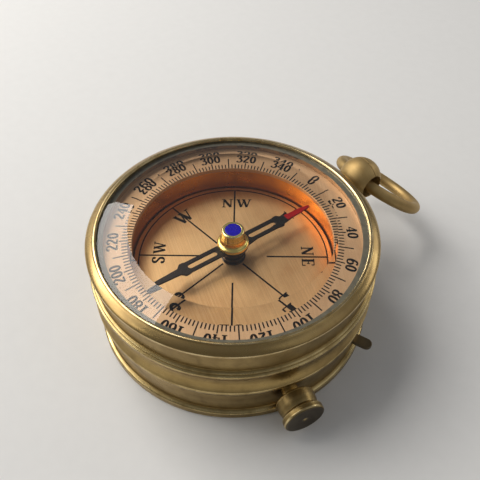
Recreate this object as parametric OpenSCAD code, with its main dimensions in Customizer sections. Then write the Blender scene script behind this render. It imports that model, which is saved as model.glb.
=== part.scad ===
// Magnetic compass in a turned brass drum case: bevelled glass, degree ring, turning dial,
// pivoted needle with a lift lever, a radial knob that turns the dial, and a ball pendant with a bow.
// Origin at the centre of the flat base, +Z up, +Y out through the pendant. All lengths in millimetres.

/* [Case] */
// Outer radius of the plain wall
case_r = 36.5; // [34:0.1:42]
// Thickness of the plain wall
case_wall = 1.4; // [1:0.1:2.4]
// Height of the foot moulding
foot_h = 2.4; // [1.5:0.1:3.2]
// How far the foot stands out from the wall
foot_out = 1.1; // [0.4:0.1:1.3]
// Height of the lower ridge above the base
ridge_low_z = 12.8; // [12.4:0.1:14]
// Height of the upper ridge above the base
ridge_high_z = 20.4; // [18:0.1:21]
// How far the ridges stand out from the wall
ridge_out = 1.3; // [0.4:0.1:1.4]
// Width of a ridge's flat edge
ridge_w = 0.7; // [0.3:0.1:1.2]
// Depth of the hollow between the ridges
cove_d = 1.2; // [0.2:0.1:1.3]
// Height of the hollow under the lower ridge
low_hollow_h = 3; // [2:0.1:4]
// Depth of the hollow under the lower ridge
low_hollow_d = 0.25; // [0:0.05:0.4]
// How far the fine bead over the upper ridge stands out from the wall
bead_out = 0.7; // [0.4:0.05:0.9]
// Width of the fine bead's flat edge
bead_w = 0.25; // [0.15:0.05:0.35]
// Height of the fine bead and its fall over the upper ridge
bead_h = 0.8; // [0.75:0.05:1.2]
// Width of the foot's chamfers
foot_edge = 0.3; // [0.1:0.05:0.5]
// Thickness of the screw collar that the bezel fits on
collar_t = 0.7; // [0.5:0.1:1]
// Height of the screw collar
collar_h = 1.1; // [0.8:0.1:1.4]
// Width of the inner ledge that carries the degree ring
ledge_w = 1.5; // [1:0.1:2.5]
// Thickness of the inner ledges
ledge_t = 2; // [1.2:0.1:2.4]

/* [Base plate] */
// Thickness of the base plate
base_t = 1.5; // [1:0.1:2.5]
// Width of the ledge that the base plate is screwed to
base_ledge_w = 3.8; // [3.2:0.1:5]
// Number of base screws
base_screws_n = 4; // [3:1:6]
// Direction of the first base screw
base_screw_angle = 60; // [50:1:70]

/* [Bezel and glass] */
// How far the bezel stands out from the wall
bezel_out = 1; // [0.5:0.1:2]
// Height of the bezel over its seat
bezel_h = 2.4; // [2.2:0.1:4]
// Width of the lip over the glass
lip_w = 0.5; // [0.3:0.1:1.2]
// Width of the rounded crest
crest_w = 1; // [0.8:0.1:1.7]
// Rounding of the crest's edges
crest_edge = 0.25; // [0.1:0.05:0.3]
// Height of the bezel's straight lower band
bezel_band = 0.75; // [0.5:0.05:1.2]
// Width of the bezel's lower chamfer
bezel_edge = 0.25; // [0.1:0.05:0.4]
// Bulge of the bezel's side
bezel_bulge = 0.3; // [0:0.05:0.5]
// Thickness of the glass at its middle
glass_t = 3.7; // [2.4:0.1:5]
// Thickness of the glass at its edge
glass_edge_t = 1.7; // [1.2:0.1:2.2]
// Width of the bevel on the glass
glass_bevel = 8; // [3:0.5:12]
// Thickness of the gasket under the glass
gasket_t = 0.3; // [0.2:0.1:0.6]
// Width of the gasket and its spacer ring
spacer_w = 2.1; // [0.6:0.1:2.4]

/* [Degree ring and well] */
// Inner radius of the degree ring
chapter_in_r = 26.1; // [24:0.1:26.4]
// Thickness of the degree ring
chapter_t = 1.2; // [0.6:0.1:2]
// Height of the degree ring's face over the dial's face
well_depth = 8.1; // [7.4:0.1:9]
// Inner radius of the well
well_r = 27; // [26.8:0.1:28.5]
// Thickness of the well's wall and flange
well_t = 0.8; // [0.5:0.1:1.2]

/* [Dial] */
// Radial gap between the dial and the well
dial_gap = 0.4; // [0.2:0.05:0.8]
// Thickness of the dial plate
dial_t = 0.6; // [0.4:0.1:1]
// Thickness of the dial carrier's web
web_t = 1; // [0.6:0.1:1.4]
// Height of the dial carrier's hub
hub_h = 3.25; // [2.6:0.05:4]
// Outer radius of the dial carrier's hub
hub_r = 5; // [4:0.1:7]

/* [Dial drive] */
// Gear module
gear_m = 0.6; // [0.55:0.01:0.62]
// Teeth on the pinion
pinion_n = 12; // [11:1:13]
// Teeth on the face gear
face_n = 75; // [73:1:77]
// Width of the gear teeth
gear_face = 2; // [1.2:0.1:2.4]
// Tooth height above the pitch line
addendum = 0.5; // [0.4:0.01:0.52]
// Clearance under the tooth tips
tip_gap = 0.15; // [0.1:0.01:0.25]
// Play between the teeth
backlash = 0.34; // [0.25:0.01:0.45]
// Slope of the teeth's flanks, in degrees
flank_angle = 20; // [16:1:22]
// Gap between the pinion and the base plate
pinion_floor = 0.9; // [0.5:0.1:1.6]
// Direction of the knob
knob_angle = -11.2; // [-20:0.1:-5]
// Radius of the knob's spindle
spindle_r = 1; // [0.8:0.05:1.2]
// Outer radius of the spindle's bush
bush_r = 2.2; // [1.8:0.1:2.4]
// Radius of the bush's inner flange
bush_flange_r = 2.9; // [2.6:0.05:2.95]
// Thickness of the bush's inner flange
bush_flange_t = 1; // [0.6:0.1:1.5]
// Thickness of the spindle's inner bracket
bracket_t = 2; // [1.2:0.1:2.4]
// Width of the spindle's inner bracket
bracket_w = 5; // [4:0.1:6]
// Room between the pinion and the inner bracket
pinion_room = 2; // [1:0.1:3]
// Thickness of the spindle's clip
clip_t = 0.5; // [0.3:0.05:0.8]
// Radius of the spindle's clip
clip_r = 1.9; // [1.5:0.1:2.4]

/* [Knob] */
// Radius of the knob's outer rim
knob_r = 5.3; // [4.6:0.1:5.5]
// Radius of the knob's waist
knob_waist_r = 4.5; // [3.6:0.1:4.6]
// Radius of the knob's inner rim
knob_in_r = 5; // [4.6:0.1:5.1]
// Length of the knob
knob_l = 6.3; // [5:0.1:8]
// Length of the outer rim
knob_rim_l = 2; // [1.4:0.1:2.4]
// Length of the inner rim
knob_in_l = 1.2; // [0.8:0.1:1.8]
// Bulge of the knob's barrel
knob_bulge = 0.15; // [0:0.05:0.3]
// Width of the knob's edge chamfers
knob_edge = 0.3; // [0.1:0.05:0.5]
// Depth of the spindle's hole in the knob
knob_bore = 4.6; // [3:0.1:4.8]
// Gap between the knob and the case
knob_gap = 0.3; // [0.2:0.05:0.6]
// Radius of the dimple in the knob's end
dimple_r = 0.7; // [0.4:0.1:1]

/* [Bridge and bearings] */
// Height of the bridge's pillars
pillar_h = 9.5; // [9.3:0.1:10.5]
// Radius of a pillar
pillar_r = 1.6; // [1.3:0.1:2]
// Distance of the pillars from the centre
pillar_at = 13; // [11:0.1:13.6]
// Number of pillars
pillars_n = 3; // [3:1:4]
// Direction of the first pillar
pillar_angle = 85; // [80:1:90]
// Depth of a pillar's screw hole
pillar_bore = 4; // [3.5:0.1:5]
// Length of a bridge screw inside its pillar
pillar_thread = 3; // [2:0.1:3.4]
// Thickness of the bridge plate
bridge_t = 1.2; // [0.8:0.1:2]
// Radius of the bridge plate
bridge_r = 15.6; // [15.2:0.1:16.2]
// Outer radius of the guide tube
guide_r = 2.6; // [2.3:0.05:3]
// Radius of the guide tube's flange
guide_flange_r = 4.5; // [3.5:0.1:6]
// Thickness of the guide tube's flange
guide_flange_t = 0.8; // [0.5:0.1:1.2]
// Thickness of the nut over the dial
nut_t = 0.5; // [0.3:0.05:0.8]
// Width of the nut over the dial
nut_w = 0.7; // [0.4:0.05:1]

/* [Needle] */
// Radius of the pivot post
post_r = 0.8; // [0.6:0.05:0.9]
// Radius of the post's foot
post_foot_r = 2.4; // [1.6:0.1:3]
// Height of the post's foot
post_foot_h = 1.5; // [1:0.1:2.5]
// Radius of the hardened point's shank
point_r = 0.5; // [0.3:0.05:0.55]
// Length of the point's cone
point_cone = 1.8; // [1.4:0.1:2.4]
// Length of the point's shank over the post
point_out = 2; // [1:0.1:3]
// Depth of the point's socket in the post
point_in = 2; // [1:0.1:3]
// Half length of the needle
needle_l = 25.5; // [24:0.1:25.6]
// Thickness of the needle's blade
blade_t = 0.5; // [0.3:0.05:0.8]
// Radius of the blade's hub
blade_hub_r = 4; // [3.4:0.1:4.2]
// Width of the blade along its slots
blade_w = 3.7; // [3.2:0.1:5]
// Width of the slots in the blade
blade_slot_w = 1.5; // [1:0.1:2.2]
// Distance from the centre to the start of the slots
slot_from = 5.1; // [4.6:0.1:7]
// Distance from the centre to the end of the slots
slot_to = 13.8; // [12.4:0.1:14.2]
// Distance from the centre to the barbs
barb_at = 14.5; // [14.3:0.1:16]
// Length of the barbs
barb_l = 0.9; // [0.6:0.1:1.4]
// Width of the blade at its barbs
barb_w = 4.1; // [3.8:0.1:5]
// Length of the step after the barbs
step_l = 1.1; // [0.5:0.1:1.4]
// Width of the blade after its barbs
step_w = 2; // [1.6:0.1:2.4]
// Length of the taper after the barbs
taper_l = 6; // [4:0.1:6.8]
// Width of the blade behind its tips
neck_w = 1.4; // [1:0.1:1.6]
// Width of the blade's tips
tip_w = 0.9; // [0.6:0.1:1]
// Length of the blunt end of the tips
tip_l = 0.8; // [0.2:0.1:1]
// Radius of the boss under the blade
boss_r = 3; // [2.8:0.1:3.6]
// Height of the boss under the blade
boss_h = 2.65; // [1.8:0.05:3.2]
// Rounding of the boss's lower edge
boss_edge = 0.9; // [0.4:0.05:1]
// Radius of the cap's brim
brim_r = 4.2; // [3.4:0.1:4.8]
// Height of the cap's rolled brim
brim_h = 1.4; // [0.8:0.1:1.6]
// Height of the bell over the brim
bell_h = 2; // [1:0.1:2.6]
// Hollow of the bell
bell_d = 0.25; // [0:0.05:0.4]
// Chamfer of the cap's top edge
cap_edge = 0.25; // [0.1:0.05:0.35]
// Radius of the top of the cap
cap_r = 2.95; // [2.6:0.05:3.2]
// Height of the cap
cap_h = 5.6; // [5:0.1:7.6]
// Radius of the jewel
jewel_r = 2.15; // [1.8:0.05:2.4]
// Thickness of the jewel
jewel_t = 1.2; // [1:0.1:1.8]
// Depth of the cup under the jewel
cup_d = 0.6; // [0.3:0.05:0.8]
// Radius of the hole inside the needle's hub
hub_bore_r = 1.3; // [1.1:0.05:1.5]

/* [Needle lift] */
// Direction of the lift lever
tab_angle = 25; // [18:0.5:32]
// Height of the lever's pivot above the base
lever_z = 7.5; // [7.2:0.05:7.7]
// Distance of the lever's pivot from the inside of the wall
fulcrum_in = 15.1; // [14.6:0.1:15.6]
// How far the lever's tab stands out from the ridges
tab_out = 4; // [3:0.1:6]
// Width of the lever
lever_w = 3; // [2.4:0.1:3.6]
// Thickness of the lever
lever_t = 1; // [0.6:0.1:1.2]
// Radius of the lever's pivot boss
lever_boss_r = 1.3; // [1.1:0.05:1.4]
// Radius of the lever's pin
lever_pin_r = 0.6; // [0.4:0.05:0.7]
// Tilt of the lever that lifts the needle, in degrees
lever_tilt = 2.4; // [1.5:0.1:2.6]
// Thickness of the bracket's ears
ear_t = 0.8; // [0.5:0.1:1.2]
// Radius of the lever's fork
fork_r = 2.4; // [1.8:0.1:3]
// Thickness of the lever's spring
spring_t = 0.25; // [0.2:0.05:0.4]
// Width of the lever's spring
spring_w = 2.4; // [1.8:0.1:3]
// Distance from the lever's pivot to the spring's foot
spring_from = 4; // [3:0.1:4.4]
// Length of the spring's foot
spring_foot_l = 3.4; // [3.2:0.1:3.8]
// Length of the spring's rise
spring_rise_l = 4.6; // [4:0.1:5.4]
// Length of the spring's flat end
spring_pad_l = 1; // [0.5:0.1:1.6]
// Gap between the lever's spring and the lever
spring_gap = 0.65; // [0.6:0.05:0.9]
// Thickness of the lift sleeve's wall
sleeve_t = 0.7; // [0.5:0.05:0.8]
// Radius of the lift sleeve's flange
sleeve_flange_r = 3; // [2.6:0.1:3.6]
// Thickness of the lift sleeve's flange
sleeve_flange_t = 0.7; // [0.5:0.1:1]
// Radius of the lift collar
lift_r = 3; // [2.6:0.1:3.2]
// Thickness of the lift collar
lift_t = 0.9; // [0.6:0.1:1.2]

/* [Pendant and bow] */
// Radius of the ball
ball_r = 6; // [5:0.1:6.4]
// Distance of the ball's centre from the wall
ball_out = 7.7; // [7.6:0.1:11]
// Distance of the ball's turned line from its centre
ball_line_at = 1; // [0.5:0.1:3]
// Depth of the ball's turned line
ball_line_r = 0.3; // [0.1:0.05:0.5]
// Radius of the pendant's stud
stud_r = 1.8; // [1.2:0.1:2]
// Gap between the end of the stud and the bow's wire
stud_stop = 1.4; // [1:0.1:2.2]
// Radius of the pendant's neck
neck_r = 2.4; // [2.2:0.1:2.6]
// Radius of the pendant's collar
pendant_collar_r = 2.8; // [2.7:0.1:3.2]
// Chamfer of the pendant's collar
pendant_edge = 0.2; // [0.1:0.05:0.3]
// Thickness of the pendant's collar
pendant_collar_t = 0.9; // [0.5:0.1:1.2]
// Radius of the bow's wire
bow_wire_r = 1.7; // [1.2:0.1:1.9]
// Radius of the bow's centre line
bow_r = 12.9; // [11:0.1:13.4]
// Angle of the bow below level at rest
bow_drop = 38; // [30:1:60]
// Turn of the bow's hole away from square
bow_skew = 3; // [0:1:18]
// How far the wire lies towards the case from the middle of the ball's hole
bow_play = 0.6; // [0.2:0.1:0.7]

/* [Small fasteners] */
// Radius of the screws
screw_r = 0.8; // [0.6:0.05:0.9]
// Radius of the screw heads
screw_head_r = 1.5; // [1.2:0.1:1.6]
// Height of the screw heads
screw_head_h = 0.8; // [0.5:0.1:1]
// Width of the screwdriver slots
screw_slot = 0.4; // [0.3:0.05:0.6]

/* [Hidden] */
$fn = 64;
running_gap = 0.05;
seat_gap = 0.02;
lift_gap = 0.15;
loose_gap = 0.1;
glass_gap = 0.06;
point_gap = 0.02;
cut = 1;
curve_n = 10;

// Radii, from the wall inwards
case_in_r = case_r - case_wall;
foot_r = case_r + foot_out;
ridge_r = case_r + ridge_out;
glass_r = case_in_r - loose_gap;
ledge_r = case_in_r - ledge_w;
bezel_r = case_r + bezel_out;
fulcrum_at = case_in_r - fulcrum_in;
tab_at = ridge_r + tab_out;
ball_at = case_r + ball_out;
bow_at = ball_at - bow_play;
base_r = foot_r - 2 * case_wall;
base_ledge_r = case_in_r - base_ledge_w;
base_screw_at = (base_ledge_r + case_in_r) / 2;
bead_top = ridge_high_z + ridge_w / 2 + bead_h;
pendant_z = bead_top + pendant_collar_r + running_gap;
dial_r = well_r - dial_gap;
carrier_r = dial_r - dial_gap;
post_foot_z = base_t + post_foot_h;

// The drive, from the base plate up
pinion_r = gear_m * pinion_n / 2;
pinion_tip_r = pinion_r + addendum;
pinion_root_r = pinion_r - addendum - tip_gap;
spindle_z = base_t + pinion_floor + pinion_tip_r;
face_r = gear_m * face_n / 2;
face_pitch_z = spindle_z + pinion_r;
face_root_z = face_pitch_z + addendum + tip_gap;
tooth_w = PI * gear_m / 2 - backlash / 2;
tooth_slope = tan(flank_angle);
tooth_root = 0.3;
bracket_at = face_r - gear_face / 2 - bracket_t - pinion_room;
clip_at = bracket_at - clip_t - loose_gap;
knob_at = ridge_r + knob_gap + loose_gap;

// The bridge and the dial, from the base plate up
bridge_z = base_t + pillar_h;
guide_z = bridge_z + bridge_t;
hub_z = guide_z + guide_flange_t + running_gap;
dial_z = hub_z + hub_h;
dial_top = dial_z + dial_t;
nut_z = dial_top + running_gap;
guide_top = nut_z + nut_t;

// The needle lift, from the lever up
sleeve_in_r = post_r + running_gap;
sleeve_r = sleeve_in_r + sleeve_t;
guide_in_r = sleeve_r + running_gap;
sleeve_z = lever_z + lever_t / 2 + lift_gap;
lift = fulcrum_at * lever_tilt * PI / 180;
lift_z = guide_top + lift_gap;
lift_top = lift_z + lift_t;

// The needle, from the lift collar up
boss_z = lift_top + lift_gap;
blade_z = boss_z + boss_h;
cap_z = blade_z + blade_t;
jewel_z = cap_z + cap_h - jewel_t;
jewel_top = jewel_z + jewel_t;
point_z = jewel_z + cup_d - point_gap;
post_top = point_z - point_cone - point_out;

// The degree ring and the glass, from the dial and the needle up
chapter_top = dial_top + well_depth;
chapter_z = chapter_top - chapter_t;
well_z = chapter_z - well_t;
well_low = dial_z - web_t / 2;
case_h = jewel_top + lift + glass_gap;
gasket_z = case_h - gasket_t;
bezel_seat_r = case_in_r + collar_t + running_gap;
lip_z = case_h + glass_edge_t + running_gap;
lip_r = glass_r - lip_w;
glass_flat_r = glass_r - lip_w - glass_bevel;

// The lever's slot and spring
slot_drop = (ridge_r - fulcrum_at) * sin(lever_tilt);
slot_low = lever_z - lever_t / 2 - slot_drop - 2 * loose_gap;
slot_high = lever_z + lever_t / 2 + 2 * loose_gap;
slot_w = lever_w + 4 * loose_gap;
fork_w = post_r + 2 * loose_gap;
ear_gap = lever_w / 2 + loose_gap;
spring_in = fulcrum_at + spring_from;
spring_bend = spring_in + spring_foot_l;
spring_out = spring_bend + spring_rise_l;
spring_screw_at = spring_in + spring_foot_l / 2;
spring_top = lever_z - lever_t / 2 - spring_gap;

// Helpers

// A stretch of wall that hollows by d between the points a and b, each given as [radius, height]
function hollow(a, b, d) = [for (i = [1 : curve_n - 1]) let (t = i / curve_n)
    [a[0] + (b[0] - a[0]) * t - 4 * d * t * (1 - t), a[1] + (b[1] - a[1]) * t]];

// A quarter round about c, from angle p to angle q
function round_edge(c, r, p, q) = [for (i = [0 : curve_n]) let (t = p + (q - p) * i / curve_n)
    [c[0] + r * cos(t), c[1] + r * sin(t)]];

// A solid of revolution about Z from a list of [radius, height]
module turned(points) {
    rotate_extrude() polygon(points);
}

module ring(r_out, r_in, h) {
    difference() {
        cylinder(r = r_out, h = h);
        translate([0, 0, -cut]) cylinder(r = r_in, h = h + 2 * cut);
    }
}

// A rod that runs outwards along X from one distance to another at height z
module rod(from, to, z, r) {
    translate([from, 0, z]) rotate([0, 90, 0]) cylinder(r = r, h = to - from);
}

// Copies the children around the centre
module around(n, at, first) {
    for (i = [0 : n - 1]) rotate([0, 0, first + i * 360 / n]) translate([at, 0, 0]) children();
}

// A screw that points down, with the top of its slotted head at z = 0
module screw(length, head_h, head_low_r) {
    difference() {
        union() {
            translate([0, 0, -head_h]) cylinder(r1 = head_low_r, r2 = screw_head_r, h = head_h);
            translate([0, 0, -length]) cylinder(r = screw_r, h = length - head_h / 2);
        }
        translate([-screw_head_r - cut, -screw_slot / 2, -head_h / 2])
            cube([2 * screw_head_r + 2 * cut, screw_slot, head_h]);
    }
}

// Case

module case_body() {
    low_edge = ridge_low_z - ridge_w / 2;
    high_edge = ridge_high_z + ridge_w / 2;
    hollow_z = low_edge - low_hollow_h;
    outline = concat(
        [[base_r, 0], [foot_r - foot_edge, 0], [foot_r, foot_edge], [foot_r, foot_h - foot_edge],
         [foot_r - foot_edge, foot_h], [case_r, foot_h + foot_edge], [case_r, hollow_z]],
        hollow([case_r, hollow_z], [ridge_r, low_edge], low_hollow_d),
        [[ridge_r, low_edge], [ridge_r, low_edge + ridge_w]],
        hollow([ridge_r, low_edge + ridge_w], [ridge_r, high_edge - ridge_w], cove_d),
        [[ridge_r, high_edge - ridge_w], [ridge_r, high_edge], [case_r + bead_out, high_edge + bead_w],
         [case_r + bead_out, high_edge + 2 * bead_w], [case_r, bead_top],
         [case_r, case_h], [case_in_r + collar_t, case_h],
         [case_in_r + collar_t, case_h + collar_h], [case_in_r, case_h + collar_h],
         [case_in_r, well_z], [ledge_r, well_z], [ledge_r, well_z - ledge_t / 2],
         [case_in_r, well_z - ledge_t], [case_in_r, base_t + ledge_t],
         [base_ledge_r, base_t + ledge_t], [base_ledge_r, base_t], [base_r, base_t]]);
    color("#8f7c4a") difference() {
        turned(outline);
        rotate([0, 0, knob_angle]) rod(case_in_r - cut, foot_r + cut, spindle_z, bush_r + seat_gap);
        rotate([0, 0, 90]) rod(case_in_r - cut, foot_r + cut, pendant_z, stud_r + seat_gap);
        rotate([0, 0, tab_angle]) translate([case_in_r - cut, -slot_w / 2, slot_low])
            cube([ridge_r - case_in_r + 2 * cut, slot_w, slot_high - slot_low]);
        around(base_screws_n, base_screw_at, base_screw_angle) translate([0, 0, base_t - cut])
            cylinder(r = screw_r + seat_gap, h = ledge_t + 2 * cut);
    }
}

module base_plate() {
    color("#8a774a") difference() {
        cylinder(r = base_r - running_gap, h = base_t);
        around(base_screws_n, base_screw_at, base_screw_angle) {
            translate([0, 0, -cut]) cylinder(r = screw_r + seat_gap, h = base_t + 2 * cut);
            cylinder(r1 = screw_head_r + seat_gap, r2 = screw_r + seat_gap, h = screw_head_h);
        }
    }
}

module base_screws() {
    color("#b89a55") around(base_screws_n, base_screw_at, base_screw_angle) mirror([0, 0, 1])
        screw(base_t + ledge_t, screw_head_h, screw_r);
}

module bezel_ring() {
    low_z = case_h + running_gap;
    band_z = low_z + bezel_band;
    crest_z = case_h + bezel_h;
    crest_r = lip_r + crest_w;
    outline = concat(
        [[bezel_seat_r, low_z], [bezel_r - bezel_edge, low_z], [bezel_r, low_z + bezel_edge],
         [bezel_r, band_z]],
        hollow([bezel_r, band_z], [crest_r, crest_z - crest_edge], -bezel_bulge),
        [[crest_r, crest_z - crest_edge], [crest_r - crest_edge, crest_z],
         [lip_r + crest_edge, crest_z], [lip_r, crest_z - crest_edge], [lip_r, lip_z],
         [bezel_seat_r, lip_z]]);
    color("#a08b58") turned(outline);
}

module glass_crystal() {
    color([0.85, 0.92, 0.95, 0.35]) turned([[0, case_h], [glass_r, case_h],
        [glass_r, case_h + glass_edge_t], [lip_r, case_h + glass_edge_t],
        [glass_flat_r, case_h + glass_t], [0, case_h + glass_t]]);
}

module glass_gasket() {
    color("#2e2a26") translate([0, 0, gasket_z]) ring(glass_r, glass_r - spacer_w - loose_gap, gasket_t);
}

module spacer_ring() {
    color("#8a6b3a") translate([0, 0, chapter_top])
        ring(glass_r, glass_r - spacer_w, gasket_z - chapter_top);
}

// Degree ring and well

module degree_ring() {
    color("#d8a888") translate([0, 0, chapter_z]) ring(glass_r, chapter_in_r, chapter_t);
}

module well_ring() {
    color("#b8682e") union() {
        translate([0, 0, well_z]) ring(glass_r, well_r, well_t);
        translate([0, 0, well_low]) ring(well_r + well_t, well_r, well_z - well_low + well_t / 2);
    }
}

// Bridge and bearings

module bridge_pillars() {
    color("#a98c4e") around(pillars_n, pillar_at, pillar_angle) translate([0, 0, base_t]) difference() {
        cylinder(r = pillar_r, h = pillar_h);
        translate([0, 0, pillar_h - pillar_bore])
            cylinder(r = screw_r + seat_gap, h = pillar_bore + cut);
    }
}

module bridge_plate() {
    color("#a98c4e") translate([0, 0, bridge_z]) difference() {
        cylinder(r = bridge_r, h = bridge_t);
        translate([0, 0, -cut]) cylinder(r = guide_r + seat_gap, h = bridge_t + 2 * cut);
        around(pillars_n, pillar_at, pillar_angle) translate([0, 0, -cut])
            cylinder(r = screw_r + seat_gap, h = bridge_t + 2 * cut);
    }
}

module bridge_screws() {
    color("#6b6f76") around(pillars_n, pillar_at, pillar_angle)
        translate([0, 0, guide_z + screw_head_h])
            screw(screw_head_h + bridge_t + pillar_thread, screw_head_h, screw_head_r);
}

module guide_tube() {
    color("#b0924f") difference() {
        union() {
            translate([0, 0, bridge_z]) cylinder(r = guide_r, h = guide_top - bridge_z);
            translate([0, 0, guide_z]) cylinder(r = guide_flange_r, h = guide_flange_t);
        }
        translate([0, 0, bridge_z - cut]) cylinder(r = guide_in_r, h = guide_top - bridge_z + 2 * cut);
    }
}

module dial_nut() {
    color("#4a3b2a") translate([0, 0, nut_z]) ring(guide_r + nut_w, guide_r + seat_gap, nut_t);
}

// Dial

module dial_plate() {
    color("#d9a781") translate([0, 0, dial_z]) ring(dial_r, guide_r + running_gap, dial_t);
}

module dial_carrier() {
    color("#a98c4e") difference() {
        union() {
            translate([0, 0, hub_z]) cylinder(r = hub_r, h = hub_h);
            translate([0, 0, dial_z - web_t]) cylinder(r = carrier_r, h = web_t);
        }
        translate([0, 0, hub_z - cut]) cylinder(r = guide_r + running_gap, h = hub_h + 2 * cut);
    }
}

// Half width of a tooth at a height over the pitch line
function tooth_half(over) = tooth_w / 2 - over * tooth_slope;

module face_tooth() {
    low = -addendum - tip_gap - tooth_root;
    translate([face_r - gear_face / 2, 0, face_pitch_z]) rotate([90, 0, 90])
        linear_extrude(height = gear_face) polygon([
            [-tooth_half(addendum), -addendum], [tooth_half(addendum), -addendum],
            [tooth_half(low), -low], [-tooth_half(low), -low]]);
}

module face_gear() {
    color("#b0924f") union() {
        translate([0, 0, face_root_z])
            ring(face_r + gear_face / 2, face_r - gear_face / 2, dial_z - web_t - face_root_z);
        for (i = [0 : face_n - 1]) rotate([0, 0, knob_angle + i * 360 / face_n]) face_tooth();
    }
}

// Dial drive

// One pinion tooth as [across, outwards] points
function pinion_tooth(a) = [for (p = [[-tooth_half(pinion_root_r - pinion_r), pinion_root_r],
        [-tooth_half(0), pinion_r], [-tooth_half(addendum), pinion_tip_r],
        [tooth_half(addendum), pinion_tip_r], [tooth_half(0), pinion_r],
        [tooth_half(pinion_root_r - pinion_r), pinion_root_r]])
    [p[0] * cos(a) - p[1] * sin(a), p[0] * sin(a) + p[1] * cos(a)]];

module drive_pinion() {
    pitch = 360 / pinion_n;
    outline = [for (i = [0 : pinion_n - 1]) each pinion_tooth(-(i + 0.5) * pitch)];
    color("#b0924f") rotate([0, 0, knob_angle]) translate([face_r - gear_face / 2, 0, spindle_z])
        rotate([90, 0, 90]) difference() {
            linear_extrude(height = gear_face) polygon(outline);
            translate([0, 0, -cut]) cylinder(r = spindle_r + seat_gap, h = gear_face + 2 * cut);
        }
}

module knob_spindle() {
    color("#9aa0a6") rotate([0, 0, knob_angle])
        rod(clip_at - clip_t, knob_at + knob_bore - loose_gap, spindle_z, spindle_r);
}

module spindle_clip() {
    color("#3c4048") rotate([0, 0, knob_angle]) difference() {
        rod(clip_at, clip_at + clip_t, spindle_z, clip_r);
        rod(clip_at - cut, clip_at + clip_t + cut, spindle_z, spindle_r + seat_gap);
    }
}

module spindle_bush() {
    color("#b0924f") rotate([0, 0, knob_angle]) difference() {
        union() {
            rod(case_in_r - bush_flange_t - loose_gap, knob_at - knob_gap, spindle_z, bush_r);
            rod(case_in_r - bush_flange_t - 3 * loose_gap, case_in_r - 3 * loose_gap,
                spindle_z, bush_flange_r);
        }
        rod(case_in_r - bush_flange_t - cut, knob_at + cut, spindle_z, spindle_r + running_gap);
    }
}

module spindle_bracket() {
    top = spindle_z + bracket_w / 2;
    color("#a98c4e") rotate([0, 0, knob_angle]) difference() {
        translate([bracket_at, -bracket_w / 2, base_t]) cube([bracket_t, bracket_w, top - base_t]);
        rod(bracket_at - cut, bracket_at + bracket_t + cut, spindle_z, spindle_r + running_gap);
    }
}

module setting_knob() {
    rim_at = knob_l - knob_rim_l;
    outline = concat(
        [[0, 0], [knob_in_r - 2 * knob_edge, 0], [knob_in_r, knob_edge], [knob_in_r, knob_in_l]],
        hollow([knob_in_r, knob_in_l], [knob_waist_r, rim_at - knob_edge], -knob_bulge),
        [[knob_waist_r, rim_at - knob_edge], [knob_r - knob_edge, rim_at],
         [knob_r, rim_at + knob_edge], [knob_r, knob_l - knob_edge], [knob_r - knob_edge, knob_l],
         [dimple_r, knob_l], [0, knob_l - dimple_r / 2]]);
    color("#c9a95a") rotate([0, 0, knob_angle]) translate([knob_at, 0, spindle_z]) rotate([0, 90, 0])
        difference() {
            turned(outline);
            translate([0, 0, -cut]) cylinder(r = spindle_r + seat_gap, h = knob_bore + cut);
        }
}

// Needle

module pivot_post() {
    color("#8d9299") difference() {
        union() {
            translate([0, 0, base_t]) cylinder(r = post_foot_r, h = post_foot_h);
            translate([0, 0, post_foot_z]) cylinder(r = post_r, h = post_top - post_foot_z);
        }
        translate([0, 0, post_top - point_in]) cylinder(r = point_r + seat_gap, h = point_in + cut);
    }
}

module pivot_point() {
    foot_z = post_top - point_in + seat_gap;
    color("#c3c8ce") turned([[0, foot_z], [point_r, foot_z], [point_r, point_z - point_cone],
        [point_gap, point_z], [0, point_z]]);
}

module needle_boss() {
    color("#2a2320") difference() {
        turned(concat([[0, boss_z]],
            round_edge([boss_r - boss_edge, boss_z + boss_edge], boss_edge, -90, 0),
            [[boss_r, blade_z], [0, blade_z]]));
        translate([0, 0, boss_z - cut]) cylinder(r = hub_bore_r, h = boss_h + 2 * cut);
    }
}

// Both arms of the blade as one outline
module blade_outline() {
    step_at = barb_at + barb_l + step_l;
    side = [[slot_to, blade_w / 2], [barb_at, barb_w / 2],
        [barb_at + barb_l, barb_w / 2], [step_at, step_w / 2], [step_at + taper_l, neck_w / 2],
        [needle_l - tip_l, tip_w / 2], [needle_l, tip_w / 4]];
    back = [for (i = [len(side) - 1 : -1 : 0]) side[i]];
    polygon(concat([for (p = side) p], [for (p = back) [p[0], -p[1]]],
        [for (p = side) [-p[0], -p[1]]], [for (p = back) [-p[0], p[1]]]));
}

module blade_slot() {
    for (end = [slot_from + blade_slot_w / 2, slot_to - blade_slot_w / 2])
        translate([end, 0, -cut]) cylinder(d = blade_slot_w, h = blade_t + 2 * cut);
    translate([slot_from + blade_slot_w / 2, -blade_slot_w / 2, -cut])
        cube([slot_to - slot_from - blade_slot_w, blade_slot_w, blade_t + 2 * cut]);
}

module needle_blade() {
    color("#33383d") translate([0, 0, blade_z]) rotate([0, 0, 90]) difference() {
        union() {
            linear_extrude(height = blade_t) blade_outline();
            cylinder(r = blade_hub_r, h = blade_t);
        }
        for (turn = [0, 180]) rotate([0, 0, turn]) blade_slot();
        translate([0, 0, -cut]) cylinder(r = hub_bore_r, h = blade_t + 2 * cut);
    }
}

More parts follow.
